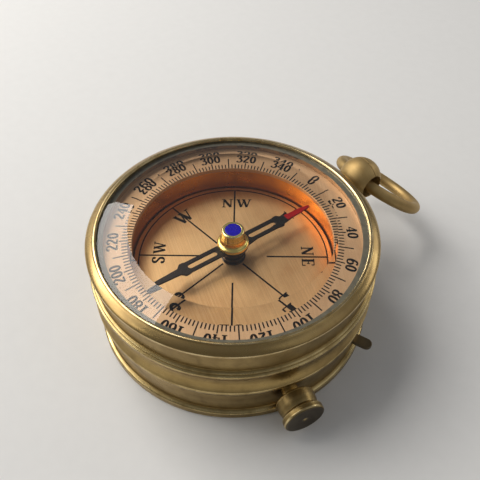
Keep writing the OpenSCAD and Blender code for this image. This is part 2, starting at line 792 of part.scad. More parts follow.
module needle_cap() {
    roll = brim_h / 2;
    bell_top = [cap_r, cap_z + brim_h + bell_h];
    outline = concat([[0, cap_z]], round_edge([brim_r - roll, cap_z + roll], roll, -90, 90),
        hollow([brim_r - roll, cap_z + brim_h], bell_top, bell_d),
        [bell_top, [cap_r, jewel_top - cap_edge], [cap_r - cap_edge, jewel_top], [0, jewel_top]]);
    color("#d9b24a") difference() {
        turned(outline);
        translate([0, 0, jewel_z]) cylinder(r = jewel_r + seat_gap, h = jewel_t + cut);
        translate([0, 0, cap_z - cut]) cylinder(r = hub_bore_r, h = cap_h);
    }
}

module cap_jewel() {
    color("#1a22b8") difference() {
        translate([0, 0, jewel_z]) cylinder(r = jewel_r, h = jewel_t);
        translate([0, 0, jewel_z - seat_gap])
            cylinder(r1 = cup_d + point_r, r2 = point_gap, h = cup_d + seat_gap);
    }
}

// Needle lift

module lift_sleeve() {
    color("#b0924f") difference() {
        union() {
            translate([0, 0, sleeve_z]) cylinder(r = sleeve_flange_r, h = sleeve_flange_t);
            translate([0, 0, sleeve_z]) cylinder(r = sleeve_r, h = lift_top - sleeve_z);
        }
        translate([0, 0, sleeve_z - cut]) cylinder(r = sleeve_in_r, h = lift_top - sleeve_z + 2 * cut);
    }
}

module lift_collar() {
    color("#2a2320") translate([0, 0, lift_z]) ring(lift_r, sleeve_r + seat_gap, lift_t);
}

module lift_lever() {
    color("#9c8752") rotate([0, 0, tab_angle]) difference() {
        union() {
            translate([0, 0, lever_z - lever_t / 2]) linear_extrude(height = lever_t) union() {
                translate([0, -lever_w / 2]) square([tab_at - lever_w / 2, lever_w]);
                translate([tab_at - lever_w / 2, 0]) circle(d = lever_w);
                circle(r = fork_r);
            }
            translate([fulcrum_at, lever_w / 2, lever_z]) rotate([90, 0, 0])
                cylinder(r = lever_boss_r, h = lever_w);
        }
        translate([0, 0, lever_z - lever_t]) linear_extrude(height = 2 * lever_t) union() {
            circle(r = fork_w);
            translate([-fork_r - cut, -fork_w]) square([fork_r + cut, 2 * fork_w]);
        }
        translate([fulcrum_at, lever_w, lever_z]) rotate([90, 0, 0])
            cylinder(r = lever_pin_r + running_gap, h = 2 * lever_w);
    }
}

module lever_bracket() {
    half = lever_boss_r + loose_gap;
    ear_h = lever_z + half - base_t;
    width = 2 * (ear_gap + ear_t);
    color("#a98c4e") rotate([0, 0, tab_angle]) translate([fulcrum_at, 0, 0]) difference() {
        union() {
            translate([-half, -width / 2, base_t]) cube([2 * half, width, ear_t]);
            for (side = [-1, 1]) translate([-half, side * (ear_gap + ear_t / 2) - ear_t / 2, base_t])
                cube([2 * half, ear_t, ear_h]);
        }
        translate([0, width, lever_z]) rotate([90, 0, 0]) cylinder(r = lever_pin_r + seat_gap, h = 2 * width);
    }
}

module lever_pin() {
    half = ear_gap + ear_t;
    color("#8d9299") rotate([0, 0, tab_angle]) translate([fulcrum_at, half, lever_z])
        rotate([90, 0, 0]) cylinder(r = lever_pin_r, h = 2 * half);
}

module lever_spring() {
    color("#5a6470") rotate([0, 0, tab_angle]) difference() {
        translate([0, spring_w / 2, 0]) rotate([90, 0, 0]) linear_extrude(height = spring_w)
            polygon([[spring_in, base_t], [spring_bend, base_t],
                [spring_out, spring_top - spring_t], [spring_out + spring_pad_l, spring_top - spring_t],
                [spring_out + spring_pad_l, spring_top], [spring_out - spring_t / 2, spring_top],
                [spring_bend - spring_t / 2, base_t + spring_t], [spring_in, base_t + spring_t]]);
        translate([spring_screw_at, 0, 0]) cylinder(r = screw_r + seat_gap, h = 2 * base_t);
    }
}

module spring_screw() {
    color("#6b6f76") rotate([0, 0, tab_angle])
        translate([spring_screw_at, 0, base_t + spring_t + screw_head_h])
            screw(screw_head_h + spring_t, screw_head_h, screw_head_r);
}

// Pendant and bow

module pendant_stud() {
    color("#9c8752") rotate([0, 0, 90])
        rod(case_in_r, bow_at - bow_wire_r - stud_stop, pendant_z, stud_r);
}

module pendant_collar() {
    face = case_r + pendant_collar_t;
    neck_end = ball_at - ball_r - seat_gap;
    color("#9c8752") difference() {
        rotate([0, 0, 90]) translate([0, 0, pendant_z]) rotate([0, 90, 0]) turned([
            [stud_r + seat_gap, case_r - cut], [pendant_collar_r, case_r - cut],
            [pendant_collar_r, face - pendant_edge], [pendant_collar_r - pendant_edge, face],
            [neck_r, face], [neck_r, neck_end], [stud_r + seat_gap, neck_end]]);
        cylinder(r = case_r + seat_gap, h = case_h, $fn = 6 * $fn);
    }
}

// How far the bow's curve leaves a straight line at a distance along it
function bow_sag(x) = bow_r - sqrt(bow_r * bow_r - x * x);

// The hole through the ball opens towards its mouths, as the bow's curve needs
module bow_hole() {
    reach = ball_r + cut;
    near = ball_r - cut;
    waist = bow_wire_r + bow_play + 2 * loose_gap;
    rotate([0, 90, 0]) turned([[0, -reach], [waist + bow_sag(reach), -reach], [waist + bow_sag(near), -near],
        [waist, -cut], [waist, cut], [waist + bow_sag(near), near], [waist + bow_sag(reach), reach],
        [0, reach]]);
}

module pendant_ball() {
    line_r = sqrt(ball_r * ball_r - ball_line_at * ball_line_at);
    color("#9c8752") translate([0, ball_at, pendant_z]) difference() {
        rotate([90, 0, 0]) sphere(r = ball_r);
        rotate([0, 0, bow_skew]) bow_hole();
        translate([0, ball_line_at, 0]) rotate([90, 0, 0])
            ring(ball_r + cut, line_r - ball_line_r, ball_line_r);
        rotate([90, 0, 0]) cylinder(r = stud_r + seat_gap, h = ball_r + cut);
    }
}

module bow_ring() {
    color("#9c8752") translate([0, bow_at, pendant_z]) rotate([0, 0, bow_skew])
        rotate([-bow_drop, 0, 0]) translate([0, bow_r, 0])
            rotate_extrude() translate([bow_r, 0]) circle(r = bow_wire_r);
}

case_body();
base_plate();
base_screws();
bezel_ring();
glass_crystal();
glass_gasket();
spacer_ring();
degree_ring();
well_ring();
bridge_pillars();
bridge_plate();
bridge_screws();
guide_tube();
dial_nut();
dial_plate();
dial_carrier();
face_gear();
pivot_post();
pivot_point();
needle_boss();
needle_blade();
needle_cap();
cap_jewel();
lift_sleeve();
lift_collar();
lift_lever();
lever_bracket();
lever_pin();
lever_spring();
spring_screw();
setting_knob();
knob_spindle();
drive_pinion();
spindle_clip();
spindle_bush();
spindle_bracket();
pendant_stud();
pendant_collar();
pendant_ball();
bow_ring();
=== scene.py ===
# Drum compass: smooth turned pieces, engraved marks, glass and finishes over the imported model.
# Lengths in the settings are in millimetres; heights run up from the flat base.
import math

import bmesh
import bpy
import numpy as np
from mathutils import Matrix, Vector


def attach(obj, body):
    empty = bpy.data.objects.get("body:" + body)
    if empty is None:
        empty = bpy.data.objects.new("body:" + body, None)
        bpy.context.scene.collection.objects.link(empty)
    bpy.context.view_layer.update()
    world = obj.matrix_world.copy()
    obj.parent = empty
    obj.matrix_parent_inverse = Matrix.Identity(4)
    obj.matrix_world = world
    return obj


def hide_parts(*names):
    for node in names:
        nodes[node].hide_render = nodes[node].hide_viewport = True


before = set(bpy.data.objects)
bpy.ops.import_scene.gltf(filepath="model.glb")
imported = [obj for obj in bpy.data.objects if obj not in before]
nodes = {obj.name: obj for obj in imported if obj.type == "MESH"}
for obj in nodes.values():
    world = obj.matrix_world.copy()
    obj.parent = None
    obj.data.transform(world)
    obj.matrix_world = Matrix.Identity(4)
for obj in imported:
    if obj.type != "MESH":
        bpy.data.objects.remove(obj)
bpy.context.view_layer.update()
mm = 0.001
fullTurn = 2 * math.pi


def newObject(name, data):
    thing = bpy.data.objects.new(name, data)
    bpy.context.scene.collection.objects.link(thing)
    return thing


camera = {
    "place": (0.08709, -0.05765, 0.14205),  # in metres
    "right": (0.5637, 0.8260, 0.0027),
    "up": (-0.6172, 0.4191, 0.6659),
    "forward": (-0.5488, 0.3771, -0.7461),
    "lens": 45.0, "sensor": 36.0,
    "near": 0.005, "far": 10.0,  # in metres
}


def placeCamera(settings):
    data = bpy.data.cameras.new("photoCamera")
    data.lens, data.sensor_width = settings["lens"], settings["sensor"]
    data.clip_start, data.clip_end = settings["near"], settings["far"]
    thing = newObject("photoCamera", data)
    turn = Matrix((settings["right"], settings["up"], [-v for v in settings["forward"]])).transposed()
    thing.matrix_world = Matrix.Translation(settings["place"]) @ turn.to_4x4()
    bpy.context.scene.camera = thing


placeCamera(camera)
print("camera placed")

# angles in degrees; merge is in metres
meshRules = {"merge": 1e-7, "sharpAbove": 35.0, "dressedSharpAbove": 40.0, "flatWithin": 0.4,
             "bevelSegments": 2}
cornerRules = {"steps": 5, "mostOfSide": 0.4, "guard": 0.12, "guardShare": 0.08, "guardFrom": 1.0,
               "tiny": 1e-6}
leastLength = 1e-9


def meshFrom(name, points, faces):
    data = bpy.data.meshes.new(name)
    data.from_pydata(np.asarray(points, float).reshape(-1, 3).tolist(), [], [list(f) for f in faces])
    return newObject(name, data)


def setWear(thing, values):
    # how far each point is rubbed, which the turned finishes read
    wear = thing.data.attributes.new("wear", "FLOAT", "POINT")
    wear.data.foreach_set("value", values)


def smoothBelow(data, degrees):
    data.shade_smooth()
    data.set_sharp_from_angle(angle=math.radians(degrees))


def finishMesh(thing, sharpAbove=meshRules["sharpAbove"]):
    # joins the points that fall together at poles and seams, and smooths all but the sharp edges
    work = bmesh.new()
    work.from_mesh(thing.data)
    bmesh.ops.remove_doubles(work, verts=work.verts, dist=meshRules["merge"])
    bare = [e for e in work.edges if not e.link_faces]
    bmesh.ops.delete(work, geom=bare, context="EDGES")
    work.to_mesh(thing.data)
    work.free()
    smoothBelow(thing.data, sharpAbove)
    return thing


def ringFaces(rows, columns, closeRows, closeColumns, keep=None):
    # quads of a grid stored row by row; keep(i, j) is a mask array of the quads that stay
    i, j = np.meshgrid(np.arange(rows if closeRows else rows - 1),
                       np.arange(columns if closeColumns else columns - 1), indexing="ij")
    if keep is not None:
        mask = keep(i, j)
        i, j = i[mask], j[mask]
    a = i * columns + j
    b = ((i + 1) % rows) * columns + j
    c = ((i + 1) % rows) * columns + (j + 1) % columns
    d = i * columns + (j + 1) % columns
    return np.stack([a, b, c, d], -1).reshape(-1, 4)


def roundCorners(corners):
    # corners are (radius, height, rounding) of a closed outline. Each becomes a short curve between two
    # points on its sides, P(t) = (1-t)^2 A + 2 t (1-t) C + t^2 B, and a guard point just beyond each end
    # of the curve keeps the side flat. Outer corners that are rounded count as worn.
    rules, table = cornerRules, np.array(corners, float)
    pts, sizes = table[:, :2], table[:, 2]
    before, after = np.roll(pts, 1, 0), np.roll(pts, -1, 0)
    soft = sizes > rules["tiny"]

    def side(neighbour):
        length = np.linalg.norm(neighbour - pts, axis=1)
        way = (neighbour - pts) / np.maximum(length, leastLength)[:, None]
        end = pts + way * np.minimum(sizes, rules["mostOfSide"] * length)[:, None]
        guard = np.where(soft & (length > rules["guardFrom"]),
                         np.minimum(rules["guard"], rules["guardShare"] * length), 0.0)
        return end, end + way * guard[:, None]

    (start, startGuard), (end, endGuard) = side(before), side(after)
    t = np.linspace(0, 1, rules["steps"])[None, :, None]
    curve = (1 - t) ** 2 * start[:, None] + 2 * t * (1 - t) * pts[:, None] + t ** 2 * end[:, None]
    curve = np.concatenate([startGuard[:, None], curve, endGuard[:, None]], 1)
    cross = (pts - before)[:, 0] * (after - pts)[:, 1] - (pts - before)[:, 1] * (after - pts)[:, 0]
    convex = np.zeros(curve.shape[:2])
    convex[:, 1:-1] = ((cross > rules["tiny"]) & soft)[:, None]
    flat, worn = curve.reshape(-1, 2), convex.reshape(-1)
    keep = np.linalg.norm(flat - np.roll(flat, 1, 0), axis=1) > rules["tiny"]
    return flat[keep], worn[keep]


def hollowLine(a, b, depth, count):
    # corners between a and b, not rounded, that hollow by 4 d t (1 - t) towards the axis
    t = np.linspace(0, 1, count + 2)[1:-1]
    return [(a[0] + (b[0] - a[0]) * s - 4 * depth * s * (1 - s), a[1] + (b[1] - a[1]) * s, 0.0) for s in t]


def arcPoints(centre, radius, fromAngle, toAngle, count):
    # corners on an arc, not rounded; angles in degrees
    angle = np.radians(np.linspace(fromAngle, toAngle, count))
    return [(centre[0] + radius * math.cos(a), centre[1] + radius * math.sin(a), 0.0) for a in angle]


def aroundAxis(angle, outline):
    # P(angle, s) = (r(s) cos angle, r(s) sin angle, z(s)) for an outline of radius and height
    r, z = outline[:, 0] * mm, outline[:, 1] * mm
    return np.stack([np.outer(np.cos(angle), r), np.outer(np.sin(angle), r),
                     np.broadcast_to(z, (len(angle), len(z)))], -1)


def evenTurn(steps):
    return np.arange(steps) * fullTurn / steps


def turned(name, corners, steps, place=None, sharpAbove=meshRules["sharpAbove"]):
    # a lathe piece from its (radius, height, rounding) corners
    outline, worn = roundCorners(corners)
    thing = meshFrom(name, aroundAxis(evenTurn(steps), outline), ringFaces(steps, len(outline), True, True))
    setWear(thing, np.tile(worn, steps))
    finishMesh(thing, sharpAbove)
    if place is not None:
        thing.data.transform(place)
    return thing


def along(direction, height, start=0.0):
    # turns a piece made about Z to lie about a level line, in degrees from +X
    return (Matrix.Translation((0, 0, height * mm)) @ Matrix.Rotation(math.radians(direction), 4, "Z")
            @ Matrix.Translation((start * mm, 0, 0)) @ Matrix.Rotation(math.radians(90), 4, "Y"))


def dressedCopy(node, name, width):
    # a merged copy of a CAD node with its edges broken by a small bevel
    work = bmesh.new()
    work.from_mesh(nodes[node].data)
    bmesh.ops.remove_doubles(work, verts=work.verts, dist=meshRules["merge"])
    bmesh.ops.dissolve_limit(work, angle_limit=math.radians(meshRules["flatWithin"]), verts=work.verts,
                             edges=work.edges)
    data = bpy.data.meshes.new(name)
    work.to_mesh(data)
    work.free()
    thing = newObject(name, data)
    bevel = thing.modifiers.new("edge", "BEVEL")
    bevel.width, bevel.segments = width * mm, meshRules["bevelSegments"]
    bevel.limit_method, bevel.angle_limit = "ANGLE", math.radians(meshRules["dressedSharpAbove"])
    bevel.use_clamp_overlap = True
    smoothBelow(data, meshRules["dressedSharpAbove"])
    return thing


def own(thing, body, material, node=None):
    thing.data.materials.clear()
    thing.data.materials.append(material)
    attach(thing, body)
    if node:
        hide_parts(node)
    return thing


def newGroup(name, inputs, outputs):
    group = bpy.data.node_groups.new(name, "ShaderNodeTree")
    for label, kind, value in inputs:
        socket = group.interface.new_socket(label, in_out="INPUT", socket_type=kind)
        if value is not None:
            socket.default_value = value
    for label, kind in outputs:
        group.interface.new_socket(label, in_out="OUTPUT", socket_type=kind)
    return group, group.nodes.new("NodeGroupInput"), group.nodes.new("NodeGroupOutput")


def feed(tree, socket, value):
    # a number or a colour is set on the socket, and an output is linked to it
    if isinstance(value, tuple):
        socket.default_value = (*value, 1)
    elif isinstance(value, (int, float)):
        socket.default_value = value
    else:
        tree.links.new(value, socket)


def mathNode(tree, kind, a, b=None, clamp=False):
    node = tree.nodes.new("ShaderNodeMath")
    node.operation, node.use_clamp = kind, clamp
    feed(tree, node.inputs[0], a)
    if b is not None:
        feed(tree, node.inputs[1], b)
    return node.outputs[0]


def times(tree, a, b, clamp=False):
    return mathNode(tree, "MULTIPLY", a, b, clamp)


def plus(tree, a, b, clamp=False):
    return mathNode(tree, "ADD", a, b, clamp)


def minus(tree, a, b, clamp=False):
    return mathNode(tree, "SUBTRACT", a, b, clamp)


def axes(tree, point):
    split = tree.nodes.new("ShaderNodeSeparateXYZ")
    tree.links.new(point, split.inputs[0])
    return split.outputs


def fromAxis(tree, axis):
    # the root of x squared plus y squared
    return mathNode(tree, "SQRT", plus(tree, times(tree, axis[0], axis[0]), times(tree, axis[1], axis[1])))


def ramp(tree, value, low, high):
    node = tree.nodes.new("ShaderNodeMapRange")
    node.clamp = True
    tree.links.new(value, node.inputs["Value"])
    node.inputs["From Min"].default_value = low
    node.inputs["From Max"].default_value = high
    return node.outputs["Result"]


def mixColour(tree, factor, a, b):
    node = tree.nodes.new("ShaderNodeMix")
    node.data_type = "RGBA"
    for slot, value in ((0, factor), (6, a), (7, b)):
        feed(tree, node.inputs[slot], value)
    return node.outputs[2]


def noise(tree, vector, scale, detail):
    node = tree.nodes.new("ShaderNodeTexNoise")
    node.inputs["Scale"].default_value = scale
    node.inputs["Detail"].default_value = detail
    node.inputs["Roughness"].default_value = 0.55
    tree.links.new(vector, node.inputs["Vector"])
    return node.outputs["Fac"]


def patches(tree, point, pattern):
    # a pattern is a noise's scale and detail, then the two levels between which it rises from 0 to 1
    scale, detail, low, high = pattern
    return ramp(tree, noise(tree, point, scale, detail), low, high)


def makeLatheGroup():
    # fine lines left by the lathe: noise read on (radius, height) only, so it runs round the axis
    group, given, out = newGroup(
        "latheLines", [("Point", "NodeSocketVector", None), ("Pitch", "NodeSocketFloat", 0.0003)],
        [("Lines", "NodeSocketFloat"), ("Bands", "NodeSocketFloat")])
    axis = axes(group, given.outputs["Point"])
    join = group.nodes.new("ShaderNodeCombineXYZ")
    for slot, length in ((0, fromAxis(group, axis)), (1, axis[2])):
        group.links.new(mathNode(group, "DIVIDE", length, given.outputs["Pitch"]), join.inputs[slot])
    for label, scale in (("Lines", 1.0), ("Bands", 0.12)):
        group.links.new(noise(group, join.outputs[0], scale, 2.0), out.inputs[label])
    return group


patina = {
    "cloud": (95.0, 4.0, 0.38, 0.72), "blotch": (330.0, 3.0, 0.48, 0.75), "blotchShare": 0.5,
    "speck": (1900.0, 1.0, 0.70, 0.78), "speckShare": 0.7, "rub": (240.0, 3.0, 0.3, 0.6),
    "bandFrom": 0.3, "bandTo": 0.7, "bandShare": 0.16, "stainRoughens": 0.16, "rubSmooths": 0.08,
}


def makePatinaGroup(p):
    # soft stains, small dark specks and rubbed edges; the wear comes from the mesh
    group, given, out = newGroup(
        "agedMetal",
        [("Point", "NodeSocketVector", None), ("Metal", "NodeSocketColor", (0.5, 0.4, 0.2, 1)),
         ("Stain", "NodeSocketColor", (0.2, 0.13, 0.05, 1)),
         ("Rubbed", "NodeSocketColor", (0.8, 0.7, 0.4, 1)), ("Amount", "NodeSocketFloat", 0.5),
         ("Wear", "NodeSocketFloat", 0.0), ("Bands", "NodeSocketFloat", 0.5),
         ("Polish", "NodeSocketFloat", 0.3)],
        [("Color", "NodeSocketColor"), ("Roughness", "NodeSocketFloat")])
    point, amount, rubbed = (given.outputs[label] for label in ("Point", "Amount", "Rubbed"))
    cloud, blotch, speck = (patches(group, point, p[kind]) for kind in ("cloud", "blotch", "speck"))
    stain = times(group, plus(group, cloud, times(group, blotch, p["blotchShare"])), amount, clamp=True)
    colour = mixColour(group, stain, given.outputs["Metal"], given.outputs["Stain"])
    colour = mixColour(group, times(group, speck, times(group, amount, p["speckShare"])), colour,
                       given.outputs["Stain"])
    tone = ramp(group, given.outputs["Bands"], p["bandFrom"], p["bandTo"])
    colour = mixColour(group, times(group, tone, p["bandShare"]), colour, rubbed)
    rub = times(group, given.outputs["Wear"], patches(group, point, p["rub"]), clamp=True)
    colour = mixColour(group, rub, colour, rubbed)
    rough = plus(group, given.outputs["Polish"], times(group, stain, p["stainRoughens"]))
    rough = minus(group, rough, times(group, rub, p["rubSmooths"]), clamp=True)
    group.links.new(colour, out.inputs["Color"])
    group.links.new(rough, out.inputs["Roughness"])
    return group


def makeBrushGroup():
    # straight brush marks: noise stretched along one direction of the plate
    group, given, out = newGroup("brushMarks",
                                 [("Point", "NodeSocketVector", None)],
                                 [("Fine", "NodeSocketFloat"), ("Broad", "NodeSocketFloat")])
    for label, scale in (("Fine", (60.0, 9000.0, 60.0)), ("Broad", (14.0, 3200.0, 14.0))):
        stretch = group.nodes.new("ShaderNodeMapping")
        stretch.inputs["Scale"].default_value = scale
        group.links.new(given.outputs["Point"], stretch.inputs["Vector"])
        group.links.new(noise(group, stretch.outputs[0], 1.0, 3.0), out.inputs[label])
    return group


latheLines, agedMetal, brushMarks = makeLatheGroup(), makePatinaGroup(patina), makeBrushGroup()


def newMaterial(name):
    made = bpy.data.materials.new(name)
    made.use_nodes = True
    tree = made.node_tree
    tree.nodes.clear()
    shader, out = tree.nodes.new("ShaderNodeBsdfPrincipled"), tree.nodes.new("ShaderNodeOutputMaterial")
    tree.links.new(shader.outputs[0], out.inputs[0])
    return made, tree, shader


def useGroup(tree, group, **values):
    node = tree.nodes.new("ShaderNodeGroup")
    node.node_tree = group
    for label, value in values.items():
        feed(tree, node.inputs[label], value)
    return node.outputs


def objectPoint(tree, centre=(0, 0, 0), turn=(0, 0, 0)):
    # object coordinates moved so that the piece's turning axis is Z
    where = tree.nodes.new("ShaderNodeTexCoord")
    shift = tree.nodes.new("ShaderNodeMapping")
    shift.vector_type = "TEXTURE"
    shift.inputs["Location"].default_value = [v * mm for v in centre]
    shift.inputs["Rotation"].default_value = [math.radians(v) for v in turn]
    tree.links.new(where.outputs["Object"], shift.inputs["Vector"])
    return shift.outputs[0]


def bump(tree, shader, height, distance, before=None):
    node = tree.nodes.new("ShaderNodeBump")
    node.inputs["Distance"].default_value = distance
    node.inputs["Strength"].default_value = 1.0
    tree.links.new(height, node.inputs["Height"])
    if before is not None:
        tree.links.new(before, node.inputs["Normal"])
    tree.links.new(node.outputs[0], shader.inputs["Normal"])
    return node.outputs[0]


grooveInk, grooveFlat = 0.8, 0.5  # how dark a turned line is, and the share of its half width that is level
# colour, share and fade of a painted dark reflection laid over the end of a turned piece
paintedDarkReflection = {"colour": (0.016, 0.010, 0.005), "share": 0.85, "fade": 0.15}


def turnedMetal(name, look, centre=(0, 0, 0), turn=(0, 0, 0), groove=None, darkFrom=None):
    made, tree, shader = newMaterial(name)
    point = objectPoint(tree, centre, turn)
    lines = useGroup(tree, latheLines, Point=point, Pitch=look["pitch"] * mm)
    wear = tree.nodes.new("ShaderNodeAttribute")
    wear.attribute_name = "wear"
    rubbing = times(tree, wear.outputs["Fac"], look.get("rubbing", 0.8))
    aged = useGroup(tree, agedMetal, Point=point, Metal=look["metal"], Stain=look["stain"],
                    Rubbed=look["rubbed"], Amount=look["aging"], Wear=rubbing, Bands=lines["Bands"],
                    Polish=look["roughness"])
    colour, grooved = aged["Color"], None
    height = axes(tree, point)[2] if groove or darkFrom else None
    if groove:
        # a fine turned line at a height along the axis
        far = mathNode(tree, "ABSOLUTE", minus(tree, height, groove["at"] * mm))
        line = minus(tree, 1.0, ramp(tree, far, groove["half"] * grooveFlat * mm, groove["half"] * mm))
        colour = mixColour(tree, times(tree, line, grooveInk), colour, look["stain"])
        grooved = bump(tree, shader, minus(tree, 1.0, line), groove["depth"] * mm)
    bump(tree, shader, lines["Lines"], look["cut"] * mm, before=grooved)
    if darkFrom:
        # painted dark reflection beyond a height along the axis: the end face is darkened to stand for the
        # dark surroundings it mirrors
        end = ramp(tree, height, darkFrom * mm, (darkFrom + paintedDarkReflection["fade"]) * mm)
        colour = mixColour(tree, times(tree, end, paintedDarkReflection["share"]), colour, paintedDarkReflection["colour"])
    tree.links.new(colour, shader.inputs["Base Color"])
    tree.links.new(aged["Roughness"], shader.inputs["Roughness"])
    shader.inputs["Metallic"].default_value = 1.0
    return made


brushed = {
    "cloud": (55.0, 3.0, 0.3, 0.7), "cloudShare": 0.65, "broadFrom": 0.3, "broadTo": 0.7,
    "broadShare": 0.35, "fineFrom": 0.45, "fineTo": 0.75, "fineShare": 0.3,
    "stain": (140.0, 4.0, 0.55, 0.8), "rimShadeShare": 0.75, "marksRoughen": 0.15,
}


def brushedPlate(name, look):
    b = brushed
    made, tree, shader = newMaterial(name)
    point = objectPoint(tree, turn=(0, 0, look["turn"]))
    marks = useGroup(tree, brushMarks, Point=point)
    tone = plus(tree, times(tree, patches(tree, point, b["cloud"]), b["cloudShare"]),
                times(tree, ramp(tree, marks["Broad"], b["broadFrom"], b["broadTo"]), b["broadShare"]))
    colour = mixColour(tree, tone, look["dark"], look["light"])
    fine = ramp(tree, marks["Fine"], b["fineFrom"], b["fineTo"])
    colour = mixColour(tree, times(tree, fine, b["fineShare"]), colour, look["bright"])
    stain = times(tree, patches(tree, point, b["stain"]), look["aging"])
    colour = mixColour(tree, stain, colour, look["stain"])
    if "rim" in look:
        # painted shade and reflection of the well wall towards the edge of the plate, mixed in the plate's
        # stain colour
        edge = ramp(tree, fromAxis(tree, axes(tree, point)), look["rim"][0] * mm, look["rim"][1] * mm)
        colour = mixColour(tree, times(tree, edge, b["rimShadeShare"]), colour, look["stain"])
    tree.links.new(colour, shader.inputs["Base Color"])
    tree.links.new(plus(tree, look["roughness"], times(tree, marks["Fine"], b["marksRoughen"])),
                   shader.inputs["Roughness"])
    shader.inputs["Metallic"].default_value = look["metallic"]
    bump(tree, shader, marks["Fine"], look["depth"] * mm)
    return made


plainDefaults = {"scale": 600.0, "specular": 0.5, "depth": 0.002, "grain": 5000.0, "sway": 0.1}


def plainFinish(name, settings):
    # paint, rubber and ink: one colour with a slight mottle and grain
    look = {**plainDefaults, **settings}
    made, tree, shader = newMaterial(name)
    point = objectPoint(tree)
    mottle = patches(tree, point, (look["scale"], 3.0, 0.35, 0.7))
    tree.links.new(mixColour(tree, mottle, look["colour"], look["second"]), shader.inputs["Base Color"])
    grain = noise(tree, point, look["grain"], 2.0)
    tree.links.new(plus(tree, look["roughness"] - look["sway"] / 2, times(tree, grain, look["sway"])),
                   shader.inputs["Roughness"])
    shader.inputs["Specular IOR Level"].default_value = look["specular"]
    bump(tree, shader, grain, look["depth"] * mm)
    return made


def clearGlass(name, look):
    made, tree, shader = newMaterial(name)
    shader.inputs["Base Color"].default_value = (*look["tint"], 1)
    shader.inputs["Transmission Weight"].default_value = 1.0
    shader.inputs["IOR"].default_value = look["ior"]
    smear = patches(tree, objectPoint(tree), look["smears"])
    tree.links.new(times(tree, smear, look["smear"]), shader.inputs["Roughness"])
    # light passes through for shadows, so that the dial under the glass is lit, and so does a ray
    # that the two faces have sent back and forth many times, which would otherwise end black
    path, clear, mixed = (tree.nodes.new(n) for n in
                          ("ShaderNodeLightPath", "ShaderNodeBsdfTransparent", "ShaderNodeMixShader"))
    clear.inputs[0].default_value = (*look["tint"], 1)
    out = next(n for n in tree.nodes if n.type == "OUTPUT_MATERIAL")
    tired = mathNode(tree, "GREATER_THAN", path.outputs["Ray Depth"], look["bounces"])
    tree.links.new(mathNode(tree, "MAXIMUM", path.outputs["Is Shadow Ray"], tired), mixed.inputs[0])
    tree.links.new(shader.outputs[0], mixed.inputs[1])
    tree.links.new(clear.outputs[0], mixed.inputs[2])
    tree.links.new(mixed.outputs[0], out.inputs[0])
    return made


# metal, stain and rubbed colour, how aged and how rough, then the pitch and depth of the lathe's lines
lookOrder = ("metal", "stain", "rubbed", "aging", "roughness", "pitch", "cut")
lookRows = {
    "case": ((0.38, 0.26, 0.095), (0.11, 0.062, 0.018), (0.72, 0.56, 0.27), 0.6, 0.27, 0.2, 0.0035),
    "bezel": ((0.45, 0.305, 0.11), (0.18, 0.088, 0.03), (0.8, 0.64, 0.36), 0.45, 0.24, 0.16, 0.0025),
    "base": ((0.34, 0.24, 0.095), (0.13, 0.08, 0.028), (0.7, 0.56, 0.3), 0.7, 0.36, 0.25, 0.005),
    "pendant": ((0.52, 0.36, 0.15), (0.26, 0.16, 0.055), (0.78, 0.62, 0.33), 0.5, 0.52, 0.2, 0.002),
    "knob": ((0.29, 0.195, 0.068), (0.1, 0.055, 0.018), (0.85, 0.68, 0.36), 0.5, 0.34, 0.14, 0.003),
    "movement": ((0.72, 0.54, 0.24), (0.4, 0.27, 0.1), (0.9, 0.75, 0.42), 0.2, 0.25, 0.2, 0.003),
    "well": ((0.88, 0.37, 0.05), (0.46, 0.13, 0.012), (0.97, 0.52, 0.12), 0.35, 0.26, 0.25, 0.002),
    "spacer": ((0.34, 0.24, 0.14), (0.12, 0.065, 0.03), (0.6, 0.52, 0.38), 0.4, 0.22, 0.2, 0.002),
    "cap": ((0.95, 0.74, 0.2), (0.68, 0.43, 0.07), (0.99, 0.89, 0.46), 0.15, 0.24, 0.12, 0.0012),
    "darkSteel": ((0.045, 0.036, 0.032), (0.02, 0.014, 0.012), (0.2, 0.17, 0.14), 0.4, 0.2, 0.15, 0.001),
    "needle": ((0.022, 0.017, 0.015), (0.022, 0.013, 0.01), (0.18, 0.16, 0.14), 0.5, 0.34),
    "steel": ((0.55, 0.56, 0.58), (0.3, 0.27, 0.24), (0.8, 0.8, 0.8), 0.25, 0.22, 0.12, 0.002),
    "springSteel": ((0.16, 0.2, 0.3), (0.1, 0.08, 0.1), (0.4, 0.42, 0.45), 0.3, 0.25, 0.2, 0.001),
    # the tab's colours are darkened as painted shade, for the shadow it sits in
    "tab": ((0.17, 0.13, 0.075), (0.07, 0.05, 0.028), (0.5, 0.42, 0.27), 0.6, 0.3, 0.3, 0.003),
}
looks = {name: dict(zip(lookOrder, row)) for name, row in lookRows.items()}
looks["bezel"]["rubbing"] = 0.85
looks["needle"]["specular"] = 0.08
plates = {
    # the dial's rim range marks where painted shade and reflection of the well wall darken the plate
    "dial": {"dark": (0.56, 0.29, 0.11), "light": (0.90, 0.56, 0.26), "bright": (0.98, 0.75, 0.44),
             "stain": (0.50, 0.20, 0.05), "aging": 0.35, "roughness": 0.36, "metallic": 0.8,
             "depth": 0.0012, "rim": (21.0, 27.0), "turn": 165.0},
    "degree": {"dark": (0.60, 0.35, 0.18), "light": (0.78, 0.49, 0.27), "bright": (0.90, 0.64, 0.40),
               "stain": (0.42, 0.20, 0.09), "aging": 0.3, "roughness": 0.42, "metallic": 0.8,
               "depth": 0.0012, "turn": 150.0},
}
caseMetal = turnedMetal("caseBrass", looks["case"])
bezelMetal = turnedMetal("bezelBrass", looks["bezel"])
baseMetal = turnedMetal("baseBrass", looks["base"])
movementMetal = turnedMetal("movementBrass", looks["movement"])
wellMetal = turnedMetal("wellBrass", looks["well"])
